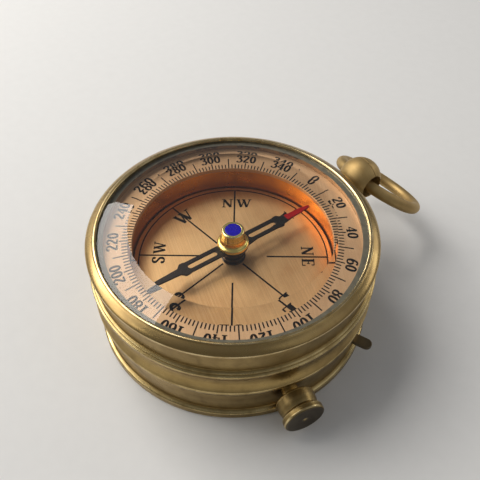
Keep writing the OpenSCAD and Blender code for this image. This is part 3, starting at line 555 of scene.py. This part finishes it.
spacerMetal = turnedMetal("spacerBrass", looks["spacer"])
capMetal = turnedMetal("capGold", looks["cap"])
darkMetal = turnedMetal("blackenedSteel", looks["darkSteel"])
steelMetal = turnedMetal("groundSteel", looks["steel"])
springMetal = turnedMetal("blueSpringSteel", looks["springSteel"])
tabShadedMetal = turnedMetal("tabBrassPaintedShade", looks["tab"])
dialMetal = brushedPlate("dialBrushed", plates["dial"])
degreeMetal = brushedPlate("degreeBrushed", plates["degree"])
ink = plainFinish("engravedInk", {"colour": (0.003, 0.002, 0.002), "second": (0.007, 0.004, 0.003),
                                  "roughness": 0.55, "scale": 900.0, "specular": 0.08})
rubber = plainFinish("gasketRubber", {"colour": (0.19, 0.17, 0.115), "second": (0.13, 0.115, 0.08),
                                      "roughness": 0.6})
jewelBlue = plainFinish("jewelBlue", {"colour": (0.004, 0.0005, 0.30), "second": (0.012, 0.002, 0.46),
                                      "roughness": 0.16, "specular": 0.15, "scale": 900.0,
                                      "depth": 0.001})
glass = clearGlass("crystalGlass", {"tint": (0.985, 0.99, 0.985), "ior": 1.5, "smear": 0.012,
                                    "smears": (70.0, 4.0, 0.5, 0.8), "bounces": 2.5})
print("finishes ready")


case = {
    "wall": 36.5, "inner": 35.1, "footOut": 1.1, "footHeight": 2.4, "footEdge": 0.3,
    "ridgeOut": 1.3, "ridgeWidth": 0.7, "lowRidge": 12.8, "highRidge": 20.4,
    "lowHollow": 3.0, "lowDepth": 0.25, "lowSteps": 12, "coveDepth": 1.2, "coveSteps": 22,
    "beadOut": 0.7, "beadWidth": 0.25, "beadHeight": 0.8,
    "seat": 28.298, "collarOut": 0.7, "collarHeight": 1.1,
    "plateThickness": 1.5, "plateRadius": 34.8, "ledgeRadius": 31.3, "ledgeTop": 3.5,
    "ringLedge": 23.0, "ringLedgeRadius": 33.6, "ringLedgeThick": 1.0, "ringLedgeLow": 21.0,
    "slotAngle": 25.0, "slotWidth": 3.4, "slotLow": 6.05, "slotHigh": 8.2,
    "steps": 248, "slotSteps": 8,
}
# how far each kind of corner is rounded
caseRounding = {"crisp": 0.0, "base": 0.1, "foot": 0.16, "neck": 0.3, "start": 0.4, "ridge": 0.22,
                "bead": 0.12, "beadTop": 0.2, "seat": 0.15}


def caseOutline(c):
    wall, inner, edge, step = c["wall"], c["inner"], c["footEdge"], c["beadWidth"]
    low, high = c["lowRidge"] - c["ridgeWidth"] / 2, c["highRidge"] + c["ridgeWidth"] / 2
    ridge, foot, bead = wall + c["ridgeOut"], wall + c["footOut"], wall + c["beadOut"]
    lowTop, highLow = low + c["ridgeWidth"], high - c["ridgeWidth"]
    start, collar, collarTop = low - c["lowHollow"], inner + c["collarOut"], c["seat"] + c["collarHeight"]
    parts = [
        ("base", [(c["plateRadius"], 0)]),
        ("foot", [(foot - edge, 0), (foot, edge), (foot, c["footHeight"] - edge),
                  (foot - edge, c["footHeight"])]),
        ("neck", [(wall, c["footHeight"] + edge)]),
        ("crisp", [(wall, c["slotLow"]), (wall, c["slotHigh"])]),
        ("start", [(wall, start)]),
        ("crisp", hollowLine((wall, start), (ridge, low), c["lowDepth"], c["lowSteps"])),
        ("ridge", [(ridge, low), (ridge, lowTop)]),
        ("crisp", hollowLine((ridge, lowTop), (ridge, highLow), c["coveDepth"], c["coveSteps"])),
        ("ridge", [(ridge, highLow), (ridge, high)]),
        ("bead", [(bead, high + step), (bead, high + 2 * step)]),
        ("beadTop", [(wall, high + c["beadHeight"])]),
        ("seat", [(wall, c["seat"])]),
        ("base", [(collar, c["seat"]), (collar, collarTop), (inner, collarTop)]),
        ("crisp", [(inner, c["ringLedge"]), (c["ringLedgeRadius"], c["ringLedge"]),
                   (c["ringLedgeRadius"], c["ringLedge"] - c["ringLedgeThick"]), (inner, c["ringLedgeLow"]),
                   (inner, c["slotHigh"]), (inner, c["slotLow"]), (inner, c["ledgeTop"]),
                   (c["ledgeRadius"], c["ledgeTop"]), (c["ledgeRadius"], c["plateThickness"]),
                   (c["plateRadius"], c["plateThickness"])]),
    ]
    return [(p[0], p[1], caseRounding[kind]) for kind, points in parts for p in points]


def makeCase(c):
    outline, wear = roundCorners(caseOutline(c))
    half = math.degrees(math.asin(c["slotWidth"] / 2 / c["wall"]))
    inSlot = np.linspace(c["slotAngle"] - half, c["slotAngle"] + half, c["slotSteps"] + 1)
    rest = np.linspace(c["slotAngle"] + half, c["slotAngle"] + 360 - half, c["steps"])[1:-1]
    angle = np.radians(np.concatenate([inSlot, rest]))
    count = len(outline)

    def nearest(radius, height):
        return int(np.argmin(np.hypot(outline[:, 0] - radius, outline[:, 1] - height)))

    outLow, outHigh = nearest(c["wall"], c["slotLow"]), nearest(c["wall"], c["slotHigh"])
    inHigh, inLow = nearest(c["inner"], c["slotHigh"]), nearest(c["inner"], c["slotLow"])

    def solidWall(i, j):
        through = ((j >= outLow) & (j < outHigh)) | ((j >= inHigh) & (j < inLow))
        return ~((i < c["slotSteps"]) & through)

    def acrossSlot(a, b):
        # the slot's floor or roof, between two rows of points along the wall
        i = np.arange(c["slotSteps"]) * count
        return np.stack([i + a, i + count + a, i + count + b, i + b], -1)

    last = c["slotSteps"] * count
    sides = [[outLow, inLow, inHigh, outHigh], [last + outHigh, last + inHigh, last + inLow, last + outLow]]
    thing = meshFrom("caseShell", aroundAxis(angle, outline), np.concatenate(
        [ringFaces(len(angle), count, True, True, solidWall), acrossSlot(outLow, inLow),
         acrossSlot(inHigh, outHigh), np.array(sides)]))
    setWear(thing, np.tile(wear, len(angle)))
    return finishMesh(thing)


own(makeCase(case), "case", caseMetal, "case_body")
print("case turned")


# In the pieces below, a corner is (radius, height, rounding).
bezel = {"seat": 35.85, "low": 28.348, "radius": 37.5, "edge": 0.25, "band": 0.75, "crest": 30.698,
         "crestRadius": 35.5, "crestEdge": 0.25, "lip": 34.5, "lipLow": 30.048, "bulge": 0.3,
         "bulgeSteps": 9, "steps": 256}


def bezelCorners(b):
    bandTop, crestLow = b["low"] + b["band"], b["crest"] - b["crestEdge"]
    side = hollowLine((b["radius"], bandTop), (b["crestRadius"], crestLow), -b["bulge"], b["bulgeSteps"])
    return [(b["seat"], b["low"], 0.0), (b["radius"] - b["edge"], b["low"], 0.12),
            (b["radius"], b["low"] + b["edge"], 0.12), (b["radius"], bandTop, 0.3), *side,
            (b["crestRadius"], crestLow, 0.2), (b["crestRadius"] - b["crestEdge"], b["crest"], 0.18),
            (b["lip"] + b["crestEdge"], b["crest"], 0.18), (b["lip"], crestLow, 0.12),
            (b["lip"], b["lipLow"], 0.0), (b["seat"], b["lipLow"], 0.0)]


own(turned("bezelRing", bezelCorners(bezel), bezel["steps"]), "case", bezelMetal, "bezel_ring")

# the crystal's faces stay flat up to their edges, so that it doesn't work as a lens
crystal = {"low": 28.298, "radius": 35.0, "edge": 29.998, "lip": 34.5, "flat": 26.5, "top": 31.998,
           "sharpAbove": 5.0, "steps": 256}
own(turned("bevelledCrystal", [
    (0, crystal["low"], 0), (crystal["radius"], crystal["low"], 0), (crystal["radius"], crystal["edge"], 0),
    (crystal["lip"], crystal["edge"], 0), (crystal["flat"], crystal["top"], 0), (0, crystal["top"], 0)],
    crystal["steps"], sharpAbove=crystal["sharpAbove"]), "case", glass, "glass_crystal")

rings = {
    "gasketBand": {"node": "glass_gasket", "finish": rubber, "outer": 35.0, "inner": 32.8, "low": 27.998,
                   "high": 28.298, "soft": 0.05, "steps": 192},
    "spacerBand": {"node": "spacer_ring", "finish": spacerMetal, "outer": 35.0, "inner": 32.9, "low": 25.0,
                   "high": 27.998, "soft": 0.08, "steps": 192},
    "degreeRing": {"node": "degree_ring", "finish": degreeMetal, "outer": 35.0, "inner": 26.1, "low": 23.8,
                   "high": 25.0, "soft": 0.1, "steps": 192},
    "dialDisc": {"node": "dial_plate", "finish": dialMetal, "outer": 26.6, "inner": 2.65, "low": 16.3,
                 "high": 16.9, "soft": 0.06, "steps": 192, "body": "dial"},
    "dialNutRing": {"node": "dial_nut", "finish": darkMetal, "outer": 3.3, "inner": 2.62, "low": 16.95,
                    "high": 17.45, "soft": 0.08, "steps": 72},
    "liftCollarRing": {"node": "lift_collar", "finish": darkMetal, "outer": 3.0, "inner": 2.25, "low": 17.6,
                       "high": 18.5, "soft": 0.1, "steps": 72, "body": "lift"},
}
for name, r in rings.items():
    ring = turned(name, [(r["outer"], r["low"], r["soft"]), (r["outer"], r["high"], r["soft"]),
                         (r["inner"], r["high"], r["soft"]), (r["inner"], r["low"], r["soft"])], r["steps"])
    own(ring, r.get("body", "case"), r["finish"], r["node"])

well = {"inner": 27.0, "wall": 0.8, "low": 15.8, "flange": 23.0, "outer": 35.0, "top": 23.8, "steps": 224}
own(turned("wellSleeve", [
    (well["inner"], well["low"], 0.1), (well["inner"] + well["wall"], well["low"], 0.1),
    (well["inner"] + well["wall"], well["flange"], 0.15), (well["outer"], well["flange"], 0.1),
    (well["outer"], well["top"], 0.1), (well["inner"], well["top"], 0.12)], well["steps"]),
    "case", wellMetal, "well_ring")
print("bezel, glass, rings and well turned")


needleHub = {"bore": 1.3, "bossRadius": 3.0, "bossLow": 18.65, "bossEdge": 0.9, "blade": 21.3,
             "capLow": 21.8, "brimRadius": 4.2, "brim": 1.4, "bell": 2.0, "bellHollow": 0.25,
             "capRadius": 2.95, "capTop": 27.4, "capEdge": 0.25, "pocket": 2.17, "pocketLow": 26.2,
             "jewelRadius": 2.15, "jewelCrown": 0.14, "crownAngles": (20, 40, 60, 78), "cup": 0.6,
             "cupWide": 1.1, "edgePoints": 9, "brimEnd": 82, "brimPoints": 13, "bellPoints": 10,
             "steps": 120}


def makeHub(h):
    bore, low, edge = h["bore"], h["bossLow"], h["bossEdge"]
    pocketLow, capTop = h["pocketLow"], h["capTop"]
    boss = [(bore, low, 0.05),
            *arcPoints((h["bossRadius"] - edge, low + edge), edge, -90, 0, h["edgePoints"]),
            (h["bossRadius"], h["blade"], 0.08), (bore, h["blade"], 0.0)]
    own(turned("hubBoss", boss, h["steps"]), "needle", darkMetal, "needle_boss")
    roll, radius = h["brim"] / 2, h["capRadius"]
    brimIn, brimTop = h["brimRadius"] - roll, h["capLow"] + h["brim"]
    bellTop = (radius, brimTop + h["bell"])
    bell = [(bore, h["capLow"], 0.0),
            *arcPoints((brimIn, h["capLow"] + roll), roll, -90, h["brimEnd"], h["brimPoints"]),
            *hollowLine((brimIn, brimTop), bellTop, h["bellHollow"], h["bellPoints"]), (*bellTop, 0.3),
            (radius, capTop - h["capEdge"], 0.12), (radius - h["capEdge"], capTop, 0.1),
            (h["pocket"], capTop, 0.04), (h["pocket"], pocketLow, 0.0), (bore, pocketLow, 0.0)]
    own(turned("hubCap", bell, h["steps"]), "needle", capMetal, "needle_cap")
    stone, crown = h["jewelRadius"], h["jewelCrown"]
    dome = [(stone * math.cos(a), capTop - crown * (1 - math.sin(a)), 0.0)
            for a in np.radians(h["crownAngles"])]
    jewel = [(0, pocketLow + h["cup"], 0.0), (h["cupWide"], pocketLow, 0.05), (stone, pocketLow, 0.05),
             (stone, capTop - crown, 0.05), *dome, (0, capTop, 0.0)]
    own(turned("jewelStone", jewel, h["steps"]), "needle", jewelBlue, "cap_jewel")


redTip = {"from": 17.4, "wobble": 0.5, "fadeFrom": 0.22, "fadeTo": 0.30, "height": 6.0, "bump": 0.003,
          "colour": (0.42, 0.002, 0.005), "second": (0.28, 0.001, 0.003),
          "chips": (2300.0, 2.0, 0.66, 0.72), "chipped": 0.6}


def needleMetal(look, paint):
    # dark steel, with red paint beyond a line across the north arm
    made, tree, shader = newMaterial("needleSteel")
    point = objectPoint(tree)
    wobble = times(tree, noise(tree, point, 900.0, 2.0), paint["wobble"] * mm)
    edge = plus(tree, axes(tree, point)[1], wobble)
    red = ramp(tree, edge, (paint["from"] + paint["fadeFrom"]) * mm, (paint["from"] + paint["fadeTo"]) * mm)
    aged = useGroup(tree, agedMetal, Point=point, Metal=look["metal"], Stain=look["stain"],
                    Rubbed=look["rubbed"], Amount=look["aging"], Polish=look["roughness"])
    chips = patches(tree, point, paint["chips"])
    cover = times(tree, red, minus(tree, 1.0, times(tree, chips, paint["chipped"])))
    shade = mixColour(tree, noise(tree, point, 1200.0, 2.0), paint["colour"], paint["second"])
    tree.links.new(mixColour(tree, cover, aged["Color"], shade), shader.inputs["Base Color"])
    tree.links.new(minus(tree, 1.0, cover), shader.inputs["Metallic"])
    tree.links.new(aged["Roughness"], shader.inputs["Roughness"])
    shader.inputs["Specular IOR Level"].default_value = look["specular"]
    bump(tree, shader, plus(tree, times(tree, red, paint["height"]), noise(tree, point, 4000.0, 2.0)),
         paint["bump"] * mm)
    return made


makeHub(needleHub)
bladeMetal = needleMetal(looks["needle"], redTip)
own(dressedCopy("needle_blade", "needleArms", 0.05), "needle", bladeMetal, "needle_blade")
print("needle made")


knob = {"azimuth": -11.2, "height": 6.5, "at": 38.2, "bore": 1.02, "boreEnd": 4.6, "innerRadius": 5.0,
        "innerLength": 1.2, "waist": 4.5, "rimAt": 4.3, "radius": 5.3, "length": 6.3, "edge": 0.3,
        "bulge": 0.15, "bulgeSteps": 9, "dimple": 0.7, "dimpleDepth": 0.35, "darkEnd": 0.2, "steps": 128}


def makeKnob(k):
    edge, innerRadius, length = k["edge"], k["innerRadius"], k["length"]
    rimLow, radius = k["rimAt"] - edge, k["radius"]
    side = hollowLine((innerRadius, k["innerLength"]), (k["waist"], rimLow), -k["bulge"], k["bulgeSteps"])
    shape = [(k["bore"], 0.0, 0.0), (innerRadius - 2 * edge, 0.0, 0.2), (innerRadius, edge, 0.25),
             (innerRadius, k["innerLength"], 0.4), *side, (k["waist"], rimLow, 0.35),
             (radius - edge, k["rimAt"], 0.3), (radius, k["rimAt"] + edge, 0.2),
             (radius, length - edge, 0.25), (radius - edge, length, 0.25), (k["dimple"], length, 0.15),
             (0, length - k["dimpleDepth"], 0.0), (0, k["boreEnd"], 0.0), (k["bore"], k["boreEnd"], 0.0)]
    # the knob's end face carries a painted dark reflection from darkFrom on
    finish = turnedMetal("knobBrass", looks["knob"], (0, 0, k["height"]), (0, 90, k["azimuth"]),
                         darkFrom=k["at"] + length - k["darkEnd"])
    own(turned("settingKnob", shape, k["steps"], along(k["azimuth"], k["height"], k["at"])), "knob", finish,
        "setting_knob")


makeKnob(knob)

pendant = {"height": 24.4, "ballAt": 44.2, "ballRadius": 6.0, "lineAt": 1.0, "lineHalf": 0.22,
           "lineDepth": 0.12, "skew": 3.0, "waist": 2.5, "waistHalf": 1.0, "mouth": 3.48, "mouthAt": 4.888,
           "bore": 1.82, "collar": 2.8, "collarFrom": 36.2, "collarTo": 37.4, "chamfer": 0.2, "neck": 2.4,
           "neckTo": 38.18, "mouthInset": 2, "ballPoints": 48, "ballSteps": 128, "neckSteps": 96}


def skewed(outward, height, skew):
    return Matrix.Translation((0, outward * mm, height * mm)) @ Matrix.Rotation(math.radians(skew), 4, "Z")


def makePendant(p):
    finish = turnedMetal("pendantBrass", looks["pendant"], (0, p["ballAt"], p["height"]), (0, 90, 90),
                         {"at": p["lineAt"], "half": p["lineHalf"], "depth": p["lineDepth"]})
    end = math.degrees(math.asin(p["mouthAt"] / p["ballRadius"])) - p["mouthInset"]
    shape = [*arcPoints((0, 0), p["ballRadius"], -end, end, p["ballPoints"]),
             (p["mouth"], p["mouthAt"], 0.25), (p["waist"], p["waistHalf"], 0.5),
             (p["waist"], -p["waistHalf"], 0.5), (p["mouth"], -p["mouthAt"], 0.25)]
    place = skewed(p["ballAt"], p["height"], p["skew"]) @ Matrix.Rotation(math.radians(90), 4, "Y")
    own(turned("pendantBead", shape, p["ballSteps"], place), "case", finish, "pendant_ball")
    bore, collar, top, cut = p["bore"], p["collar"], p["collarTo"], p["chamfer"]
    neck = [(bore, p["collarFrom"], 0.0), (collar, p["collarFrom"], 0.0), (collar, top - cut, 0.08),
            (collar - cut, top, 0.08), (p["neck"], top, 0.15), (p["neck"], p["neckTo"], 0.05),
            (bore, p["neckTo"], 0.0)]
    own(turned("pendantNeck", neck, p["neckSteps"], along(90, p["height"])), "case",
        turnedMetal("neckBrass", looks["pendant"], (0, 0, p["height"]), (0, 90, 90)), "pendant_collar")


makePendant(pendant)

bow = {"radius": 12.9, "wire": 1.7, "drop": 38.0, "at": 43.6, "around": 160, "wireSteps": 40, "pitch": 0.35}


def makeBow(b, p):
    # P(u, v) = ((R + w cos v) cos u, (R + w cos v) sin u, w sin v), then hung from the bead
    v = evenTurn(b["wireSteps"])
    section = np.column_stack([b["radius"] + b["wire"] * np.cos(v), b["wire"] * np.sin(v)])
    thing = meshFrom("bowLoop", aroundAxis(evenTurn(b["around"]), section),
                     ringFaces(b["around"], b["wireSteps"], True, True))
    place = (skewed(b["at"], p["height"], p["skew"]) @ Matrix.Rotation(math.radians(-b["drop"]), 4, "X")
             @ Matrix.Translation((0, b["radius"] * mm, 0)))
    thing.data.transform(place)
    finishMesh(thing)
    finish = turnedMetal("bowBrass", {**looks["pendant"], "pitch": b["pitch"]},
                         tuple(place.translation / mm), (-b["drop"], 0, p["skew"]))
    own(thing, "bow", finish, "bow_ring")


makeBow(bow, pendant)
# the lever tab wears the metal darkened as painted shade
own(dressedCopy("lift_lever", "liftTab", 0.14), "lever", tabShadedMetal, "lift_lever")
own(dressedCopy("base_plate", "basePlate", 0.12), "case", baseMetal, "base_plate")
own(dressedCopy("base_screws", "baseScrewHeads", 0.05), "case", steelMetal, "base_screws")
print("knob, lever, pendant and bow made")


carried = (
    (movementMetal, ("bridge_pillars", "bridge_plate", "guide_tube", "dial_carrier", "face_gear",
                     "drive_pinion", "spindle_bush", "spindle_bracket", "lever_bracket", "lift_sleeve",
                     "pendant_stud")),
    (steelMetal, ("bridge_screws", "pivot_post", "pivot_point", "knob_spindle", "lever_pin")),
    (springMetal, ("lever_spring", "spring_screw", "spindle_clip")),
)
for finish, names in carried:
    for name in names:
        nodes[name].data.materials.clear()
        nodes[name].data.materials.append(finish)
print("inner parts finished")


# Each character: its width in cap heights, then strokes. A "pen" or "loop" stroke is a curve that swells
# where it runs up or down, between the two half widths; a "bar" stroke keeps one half width.
fat, thin, hairline = 0.103, 0.045, 0.032


def serif(fromX, toX, y):
    return ("bar", hairline, [(fromX, y), (toX, y)])


characters = {
    "0": (0.62, [("loop", (thin + 0.012, fat), (0.31, 0.50, 0.205, 0.44))]),
    "1": (0.50, [("bar", fat, [(0.28, 0.02), (0.28, 0.96)]), ("bar", thin, [(0.27, 0.94), (0.10, 0.80)]),
                 ("bar", thin, [(0.08, 0.03), (0.48, 0.03)])]),
    "2": (0.62, [("pen", (thin, fat), [(0.10, 0.72), (0.13, 0.88), (0.31, 0.96), (0.50, 0.84), (0.47, 0.62),
                                       (0.28, 0.36), (0.09, 0.10)]),
                 ("bar", fat * 0.75, [(0.07, 0.07), (0.56, 0.07)])]),
    "3": (0.62, [("pen", (thin, fat), [(0.10, 0.80), (0.18, 0.94), (0.34, 0.96), (0.48, 0.82), (0.42, 0.62),
                                       (0.26, 0.54)]),
                 ("pen", (thin, fat), [(0.26, 0.54), (0.46, 0.46), (0.53, 0.25), (0.38, 0.05), (0.18, 0.04),
                                       (0.08, 0.18)])]),
    "4": (0.64, [("bar", thin + 0.01, [(0.41, 0.96), (0.06, 0.30)]),
                 ("bar", thin, [(0.05, 0.28), (0.60, 0.28)]),
                 ("bar", fat, [(0.43, 0.97), (0.43, 0.02)]), ("bar", thin, [(0.28, 0.03), (0.58, 0.03)])]),
    "6": (0.62, [("pen", (thin, fat), [(0.51, 0.84), (0.40, 0.96), (0.22, 0.88), (0.10, 0.58), (0.09, 0.30),
                                       (0.18, 0.08), (0.32, 0.03), (0.48, 0.12), (0.53, 0.31), (0.45, 0.50),
                                       (0.30, 0.56), (0.13, 0.42)])]),
    "8": (0.62, [("loop", (thin, fat * 0.9), (0.31, 0.74, 0.165, 0.215)),
                 ("loop", (thin, fat), (0.31, 0.28, 0.205, 0.245))]),
    "N": (0.98, [("bar", 0.045, [(0.19, 0.03), (0.19, 0.95)]), ("bar", 0.095, [(0.19, 0.94), (0.79, 0.05)]),
                 ("bar", 0.045, [(0.81, 0.02), (0.81, 0.97)]),
                 serif(0.03, 0.28, 0.97), serif(0.04, 0.34, 0.03), serif(0.66, 0.97, 0.97)]),
    "E": (0.80, [("bar", 0.095, [(0.23, 0.02), (0.23, 0.98)]), ("bar", 0.035, [(0.05, 0.97), (0.70, 0.97)]),
                 ("bar", 0.035, [(0.23, 0.52), (0.54, 0.52)]), ("bar", 0.035, [(0.05, 0.03), (0.74, 0.03)]),
                 ("bar", 0.045, [(0.69, 0.98), (0.69, 0.76)]), ("bar", 0.04, [(0.54, 0.41), (0.54, 0.63)]),
                 ("bar", 0.045, [(0.73, 0.02), (0.73, 0.27)])]),
    "S": (0.68, [("pen", (0.04, 0.10), [(0.57, 0.76), (0.50, 0.92), (0.33, 0.97), (0.15, 0.88),
                                        (0.13, 0.69), (0.30, 0.55), (0.50, 0.42), (0.57, 0.24),
                                        (0.47, 0.07), (0.30, 0.02), (0.14, 0.09), (0.08, 0.26)]),
                 ("bar", 0.035, [(0.585, 0.98), (0.585, 0.72)]),
                 ("bar", 0.035, [(0.075, 0.02), (0.075, 0.30)])]),
    "W": (1.36, [("bar", 0.09, [(0.17, 0.97), (0.44, 0.04)]), ("bar", 0.042, [(0.44, 0.04), (0.69, 0.93)]),
                 ("bar", 0.09, [(0.64, 0.97), (0.92, 0.04)]), ("bar", 0.042, [(0.92, 0.04), (1.19, 0.97)]),
                 serif(0.02, 0.34, 0.97), serif(0.50, 0.80, 0.97), serif(1.04, 1.34, 0.97)]),
}


def smoothCurve(points, count):
    # Catmull-Rom through the points, read at equal steps
    p = np.array(points, float)
    p = np.concatenate([[2 * p[0] - p[1]], p, [2 * p[-1] - p[-2]]])
    s = np.linspace(0, len(points) - 1, count)
    k = np.minimum(s.astype(int), len(points) - 2)
    t = (s - k)[:, None]
    a, b, c, d = p[k], p[k + 1], p[k + 2], p[k + 3]
    square, cube = 2 * a - 5 * b + 4 * c - d, 3 * b - a - 3 * c + d
    return 0.5 * (2 * b + (c - a) * t + square * t ** 2 + cube * t ** 3)


# strokes that cross lie at slightly different heights, so that their tops don't flicker
strokes = {"raised": 0.03, "sunk": 0.02, "stagger": 0.0015, "levels": 5, "loopSteps": 28, "penSteps": 4}


class Marks:
    # gathers flat strokes with a slight thickness into one mesh
    def __init__(self, face):
        self.face = face
        self.points, self.faces, self.count, self.order = [], [], 0, 0

    def stroke(self, line, half, closed=False):
        # each point of the line gets four corners: left and right of it, above and below the face
        line, half = np.asarray(line, float), np.broadcast_to(half, len(line))
        if closed:
            way = np.roll(line, -1, 0) - np.roll(line, 1, 0)
        else:
            way = np.gradient(line, axis=0)
        way = way / np.maximum(np.linalg.norm(way, axis=1), leastLength)[:, None]
        side = np.stack([-way[:, 1], way[:, 0]], -1) * half[:, None]
        self.order += 1
        high = self.face + strokes["raised"] + strokes["stagger"] * (self.order % strokes["levels"])
        low = self.face - strokes["sunk"]
        left, right = line + side, line - side
        ring = np.stack([np.column_stack([edge, np.full(len(line), level)])
                         for edge, level in ((left, high), (left, low), (right, low), (right, high))], 1)
        self.points.append(ring.reshape(-1, 3))
        faces = ringFaces(len(line), 4, closed, True) + self.count
        self.faces += faces[:, ::-1].tolist()
        if not closed:
            last = self.count + (len(line) - 1) * 4
            self.faces.append([self.count, self.count + 1, self.count + 2, self.count + 3])
            self.faces.append([last + 3, last + 2, last + 1, last])
        self.count += len(ring) * 4

    def ray(self, azimuth, inner, outer, half):
        a = math.radians(azimuth)
        way = np.array([math.cos(a), math.sin(a)])
        self.stroke(np.array([way * inner, way * outer]), half)

    def circle(self, radius, half, steps):
        a = evenTurn(steps)
        self.stroke(np.column_stack([np.cos(a), np.sin(a)]) * radius, half, True)

    def character(self, sign, azimuth, radius, height, across, weight=1.0):
        # radius is at the baseline, tops point outwards, and across is the left edge, measured clockwise
        a = math.radians(azimuth)
        up, on = np.array([math.cos(a), math.sin(a)]), np.array([math.sin(a), -math.cos(a)])
        base = up * radius + on * across

        def laid(p):
            p = np.asarray(p, float) * height
            return base + p[:, :1] * on + p[:, 1:] * up

        for kind, half, shape in characters[sign][1]:
            if kind == "bar":
                self.stroke(laid(shape), half * height * weight)
                continue
            if kind == "loop":
                x, y, broad, tall = shape
                t = evenTurn(strokes["loopSteps"])
                curve = np.column_stack([x + broad * np.cos(t), y + tall * np.sin(t)])
                way = np.column_stack([-broad * np.sin(t), tall * np.cos(t)])
            else:
                curve = smoothCurve(shape, strokes["penSteps"] * len(shape))
                way = np.gradient(curve, axis=0)
            lean = np.abs(way[:, 1]) / np.maximum(np.linalg.norm(way, axis=1), leastLength)
            wide = (half[0] + (half[1] - half[0]) * lean) * height * weight
            self.stroke(laid(curve), wide, kind == "loop")

    def made(self, name):
        return meshFrom(name, np.concatenate(self.points) * mm, self.faces)


degreeMarks = {"face": 25.0, "zero": 98.8, "inner": 26.15, "tick": 1.6, "numberTick": 2.3, "tenTick": 4.05,
               "half": 0.16, "numberHeight": 3.0, "numberAt": 28.75, "spread": 0.66, "each": 2,
               "numbered": 20}
dialMarks = {"face": 16.9, "north": 100.0, "circle": 25.35, "circleSteps": 180, "circleHalf": 0.18,
             "lineHalf": 0.23, "lineFrom": 3.7, "shortFrom": 9.0, "letterHeight": 3.3, "letterAt": 18.4,
             "beside": 0.5, "singleHeight": 4.1, "singleAt": 18.1, "weight": 1.2}


def makeDegreeMarks(d):
    marks = Marks(d["face"])
    ticks = {0: d["numberTick"], d["numbered"] // 2: d["tenTick"]}
    for degree in range(0, 360, d["each"]):
        length = ticks.get(degree % d["numbered"], d["tick"])
        marks.ray(d["zero"] - degree, d["inner"], d["inner"] + length, d["half"])
    height = d["numberHeight"]
    pitch = math.degrees(d["spread"] * height / (d["numberAt"] + height / 2))
    for number in range(0, 360, d["numbered"]):
        signs = str(number)
        for k, sign in enumerate(signs):
            turn = (k - (len(signs) - 1) / 2) * pitch
            marks.character(sign, d["zero"] - number - turn, d["numberAt"], height,
                            -characters[sign][0] * height / 2)
    return own(marks.made("degreeMarks"), "case", ink)


def makeDialMarks(d):
    marks = Marks(d["face"])
    marks.circle(d["circle"], d["circleHalf"], d["circleSteps"])
    height, single = d["letterHeight"], d["singleHeight"]
    for k, name in enumerate(("N", "NE", "E", "SE", "S", "SW", "W", "NW")):
        azimuth, alone = d["north"] - 45 * k, len(name) == 1
        marks.ray(azimuth, d["lineFrom"] if alone else d["shortFrom"], d["circle"], d["lineHalf"])
        if alone:
            marks.character(name, azimuth, d["singleAt"], single, -characters[name][0] * single / 2,
                            d["weight"])
        else:
            marks.character(name[0], azimuth, d["letterAt"], height,
                            -d["beside"] - characters[name[0]][0] * height, d["weight"])
            marks.character(name[1], azimuth, d["letterAt"], height, d["beside"], d["weight"])
    return own(marks.made("dialMarks"), "dial", ink)


makeDegreeMarks(degreeMarks)
makeDialMarks(dialMarks)
print("marks engraved")


studio = {"floorSize": 3.0, "floorPoints": 9, "floorHeight": -0.00002, "floorColour": (0.78, 0.775, 0.76),
          "floorDark": 0.97, "floorLight": 1.02, "floorGrain": 260.0, "floorRoughness": 0.9,
          "world": (0.50, 0.51, 0.53), "worldStrength": 0.32, "aim": (0, 0, 0.015)}
warm, cool, soft = (1.0, 0.97, 0.93), (0.95, 0.97, 1.0), (1.0, 0.98, 0.94)
lamps = {  # places and sizes in metres, power in watts
    "keyLamp": {"from": (-0.47, -0.17, 0.56), "size": (0.54, 0.54), "power": 4.8, "colour": warm},
    "fillLamp": {"from": (0.55, 0.30, 0.55), "size": (0.6, 0.6), "power": 0.3, "colour": cool},
    "backLamp": {"from": (0.12, 0.72, 0.30), "size": (0.4, 0.2), "power": 0.5, "colour": (1.0, 0.98, 0.95)},
    "leftPanel": {"from": (-0.36, -0.55, 0.40), "size": (0.5, 0.35), "power": 1.35, "colour": soft},
    "sideLamp": {"from": (-0.62, -0.18, 0.16), "size": (0.3, 0.2), "power": 0.14, "colour": soft},
}


def makeFloor(s):
    # a level grid just below the base of the case
    count = s["floorPoints"]
    steps = np.linspace(-s["floorSize"] / 2, s["floorSize"] / 2, count)
    x, y = np.meshgrid(steps, steps, indexing="xy")
    floor = meshFrom("studioFloor", np.stack([x, y, np.full_like(x, s["floorHeight"])], -1),
                     ringFaces(count, count, False, False)[:, ::-1])
    made, tree, shader = newMaterial("floorPaper")
    grain = noise(tree, objectPoint(tree), s["floorGrain"], 3.0)
    low, high = (tuple(c * share for c in s["floorColour"]) for share in (s["floorDark"], s["floorLight"]))
    tree.links.new(mixColour(tree, grain, low, high), shader.inputs["Base Color"])
    shader.inputs["Roughness"].default_value = s["floorRoughness"]
    floor.data.materials.append(made)


def makeLamp(name, lamp):
    data = bpy.data.lights.new(name, "AREA")
    data.shape, data.size, data.size_y = "RECTANGLE", lamp["size"][0], lamp["size"][1]
    data.energy, data.color = lamp["power"], lamp["colour"]
    thing, place = newObject(name, data), Vector(lamp["from"])
    thing.location = place
    thing.rotation_euler = (Vector(studio["aim"]) - place).to_track_quat("-Z", "Y").to_euler()


def makeWorld(s):
    world = bpy.data.worlds.new("studioWorld")
    world.use_nodes = True
    back = world.node_tree.nodes["Background"]
    back.inputs[0].default_value = (*s["world"], 1)
    back.inputs[1].default_value = s["worldStrength"]
    bpy.context.scene.world = world


makeFloor(studio)
for name, lamp in lamps.items():
    makeLamp(name, lamp)
makeWorld(studio)
bpy.context.scene.view_settings.view_transform = "Standard"
print("studio lit")
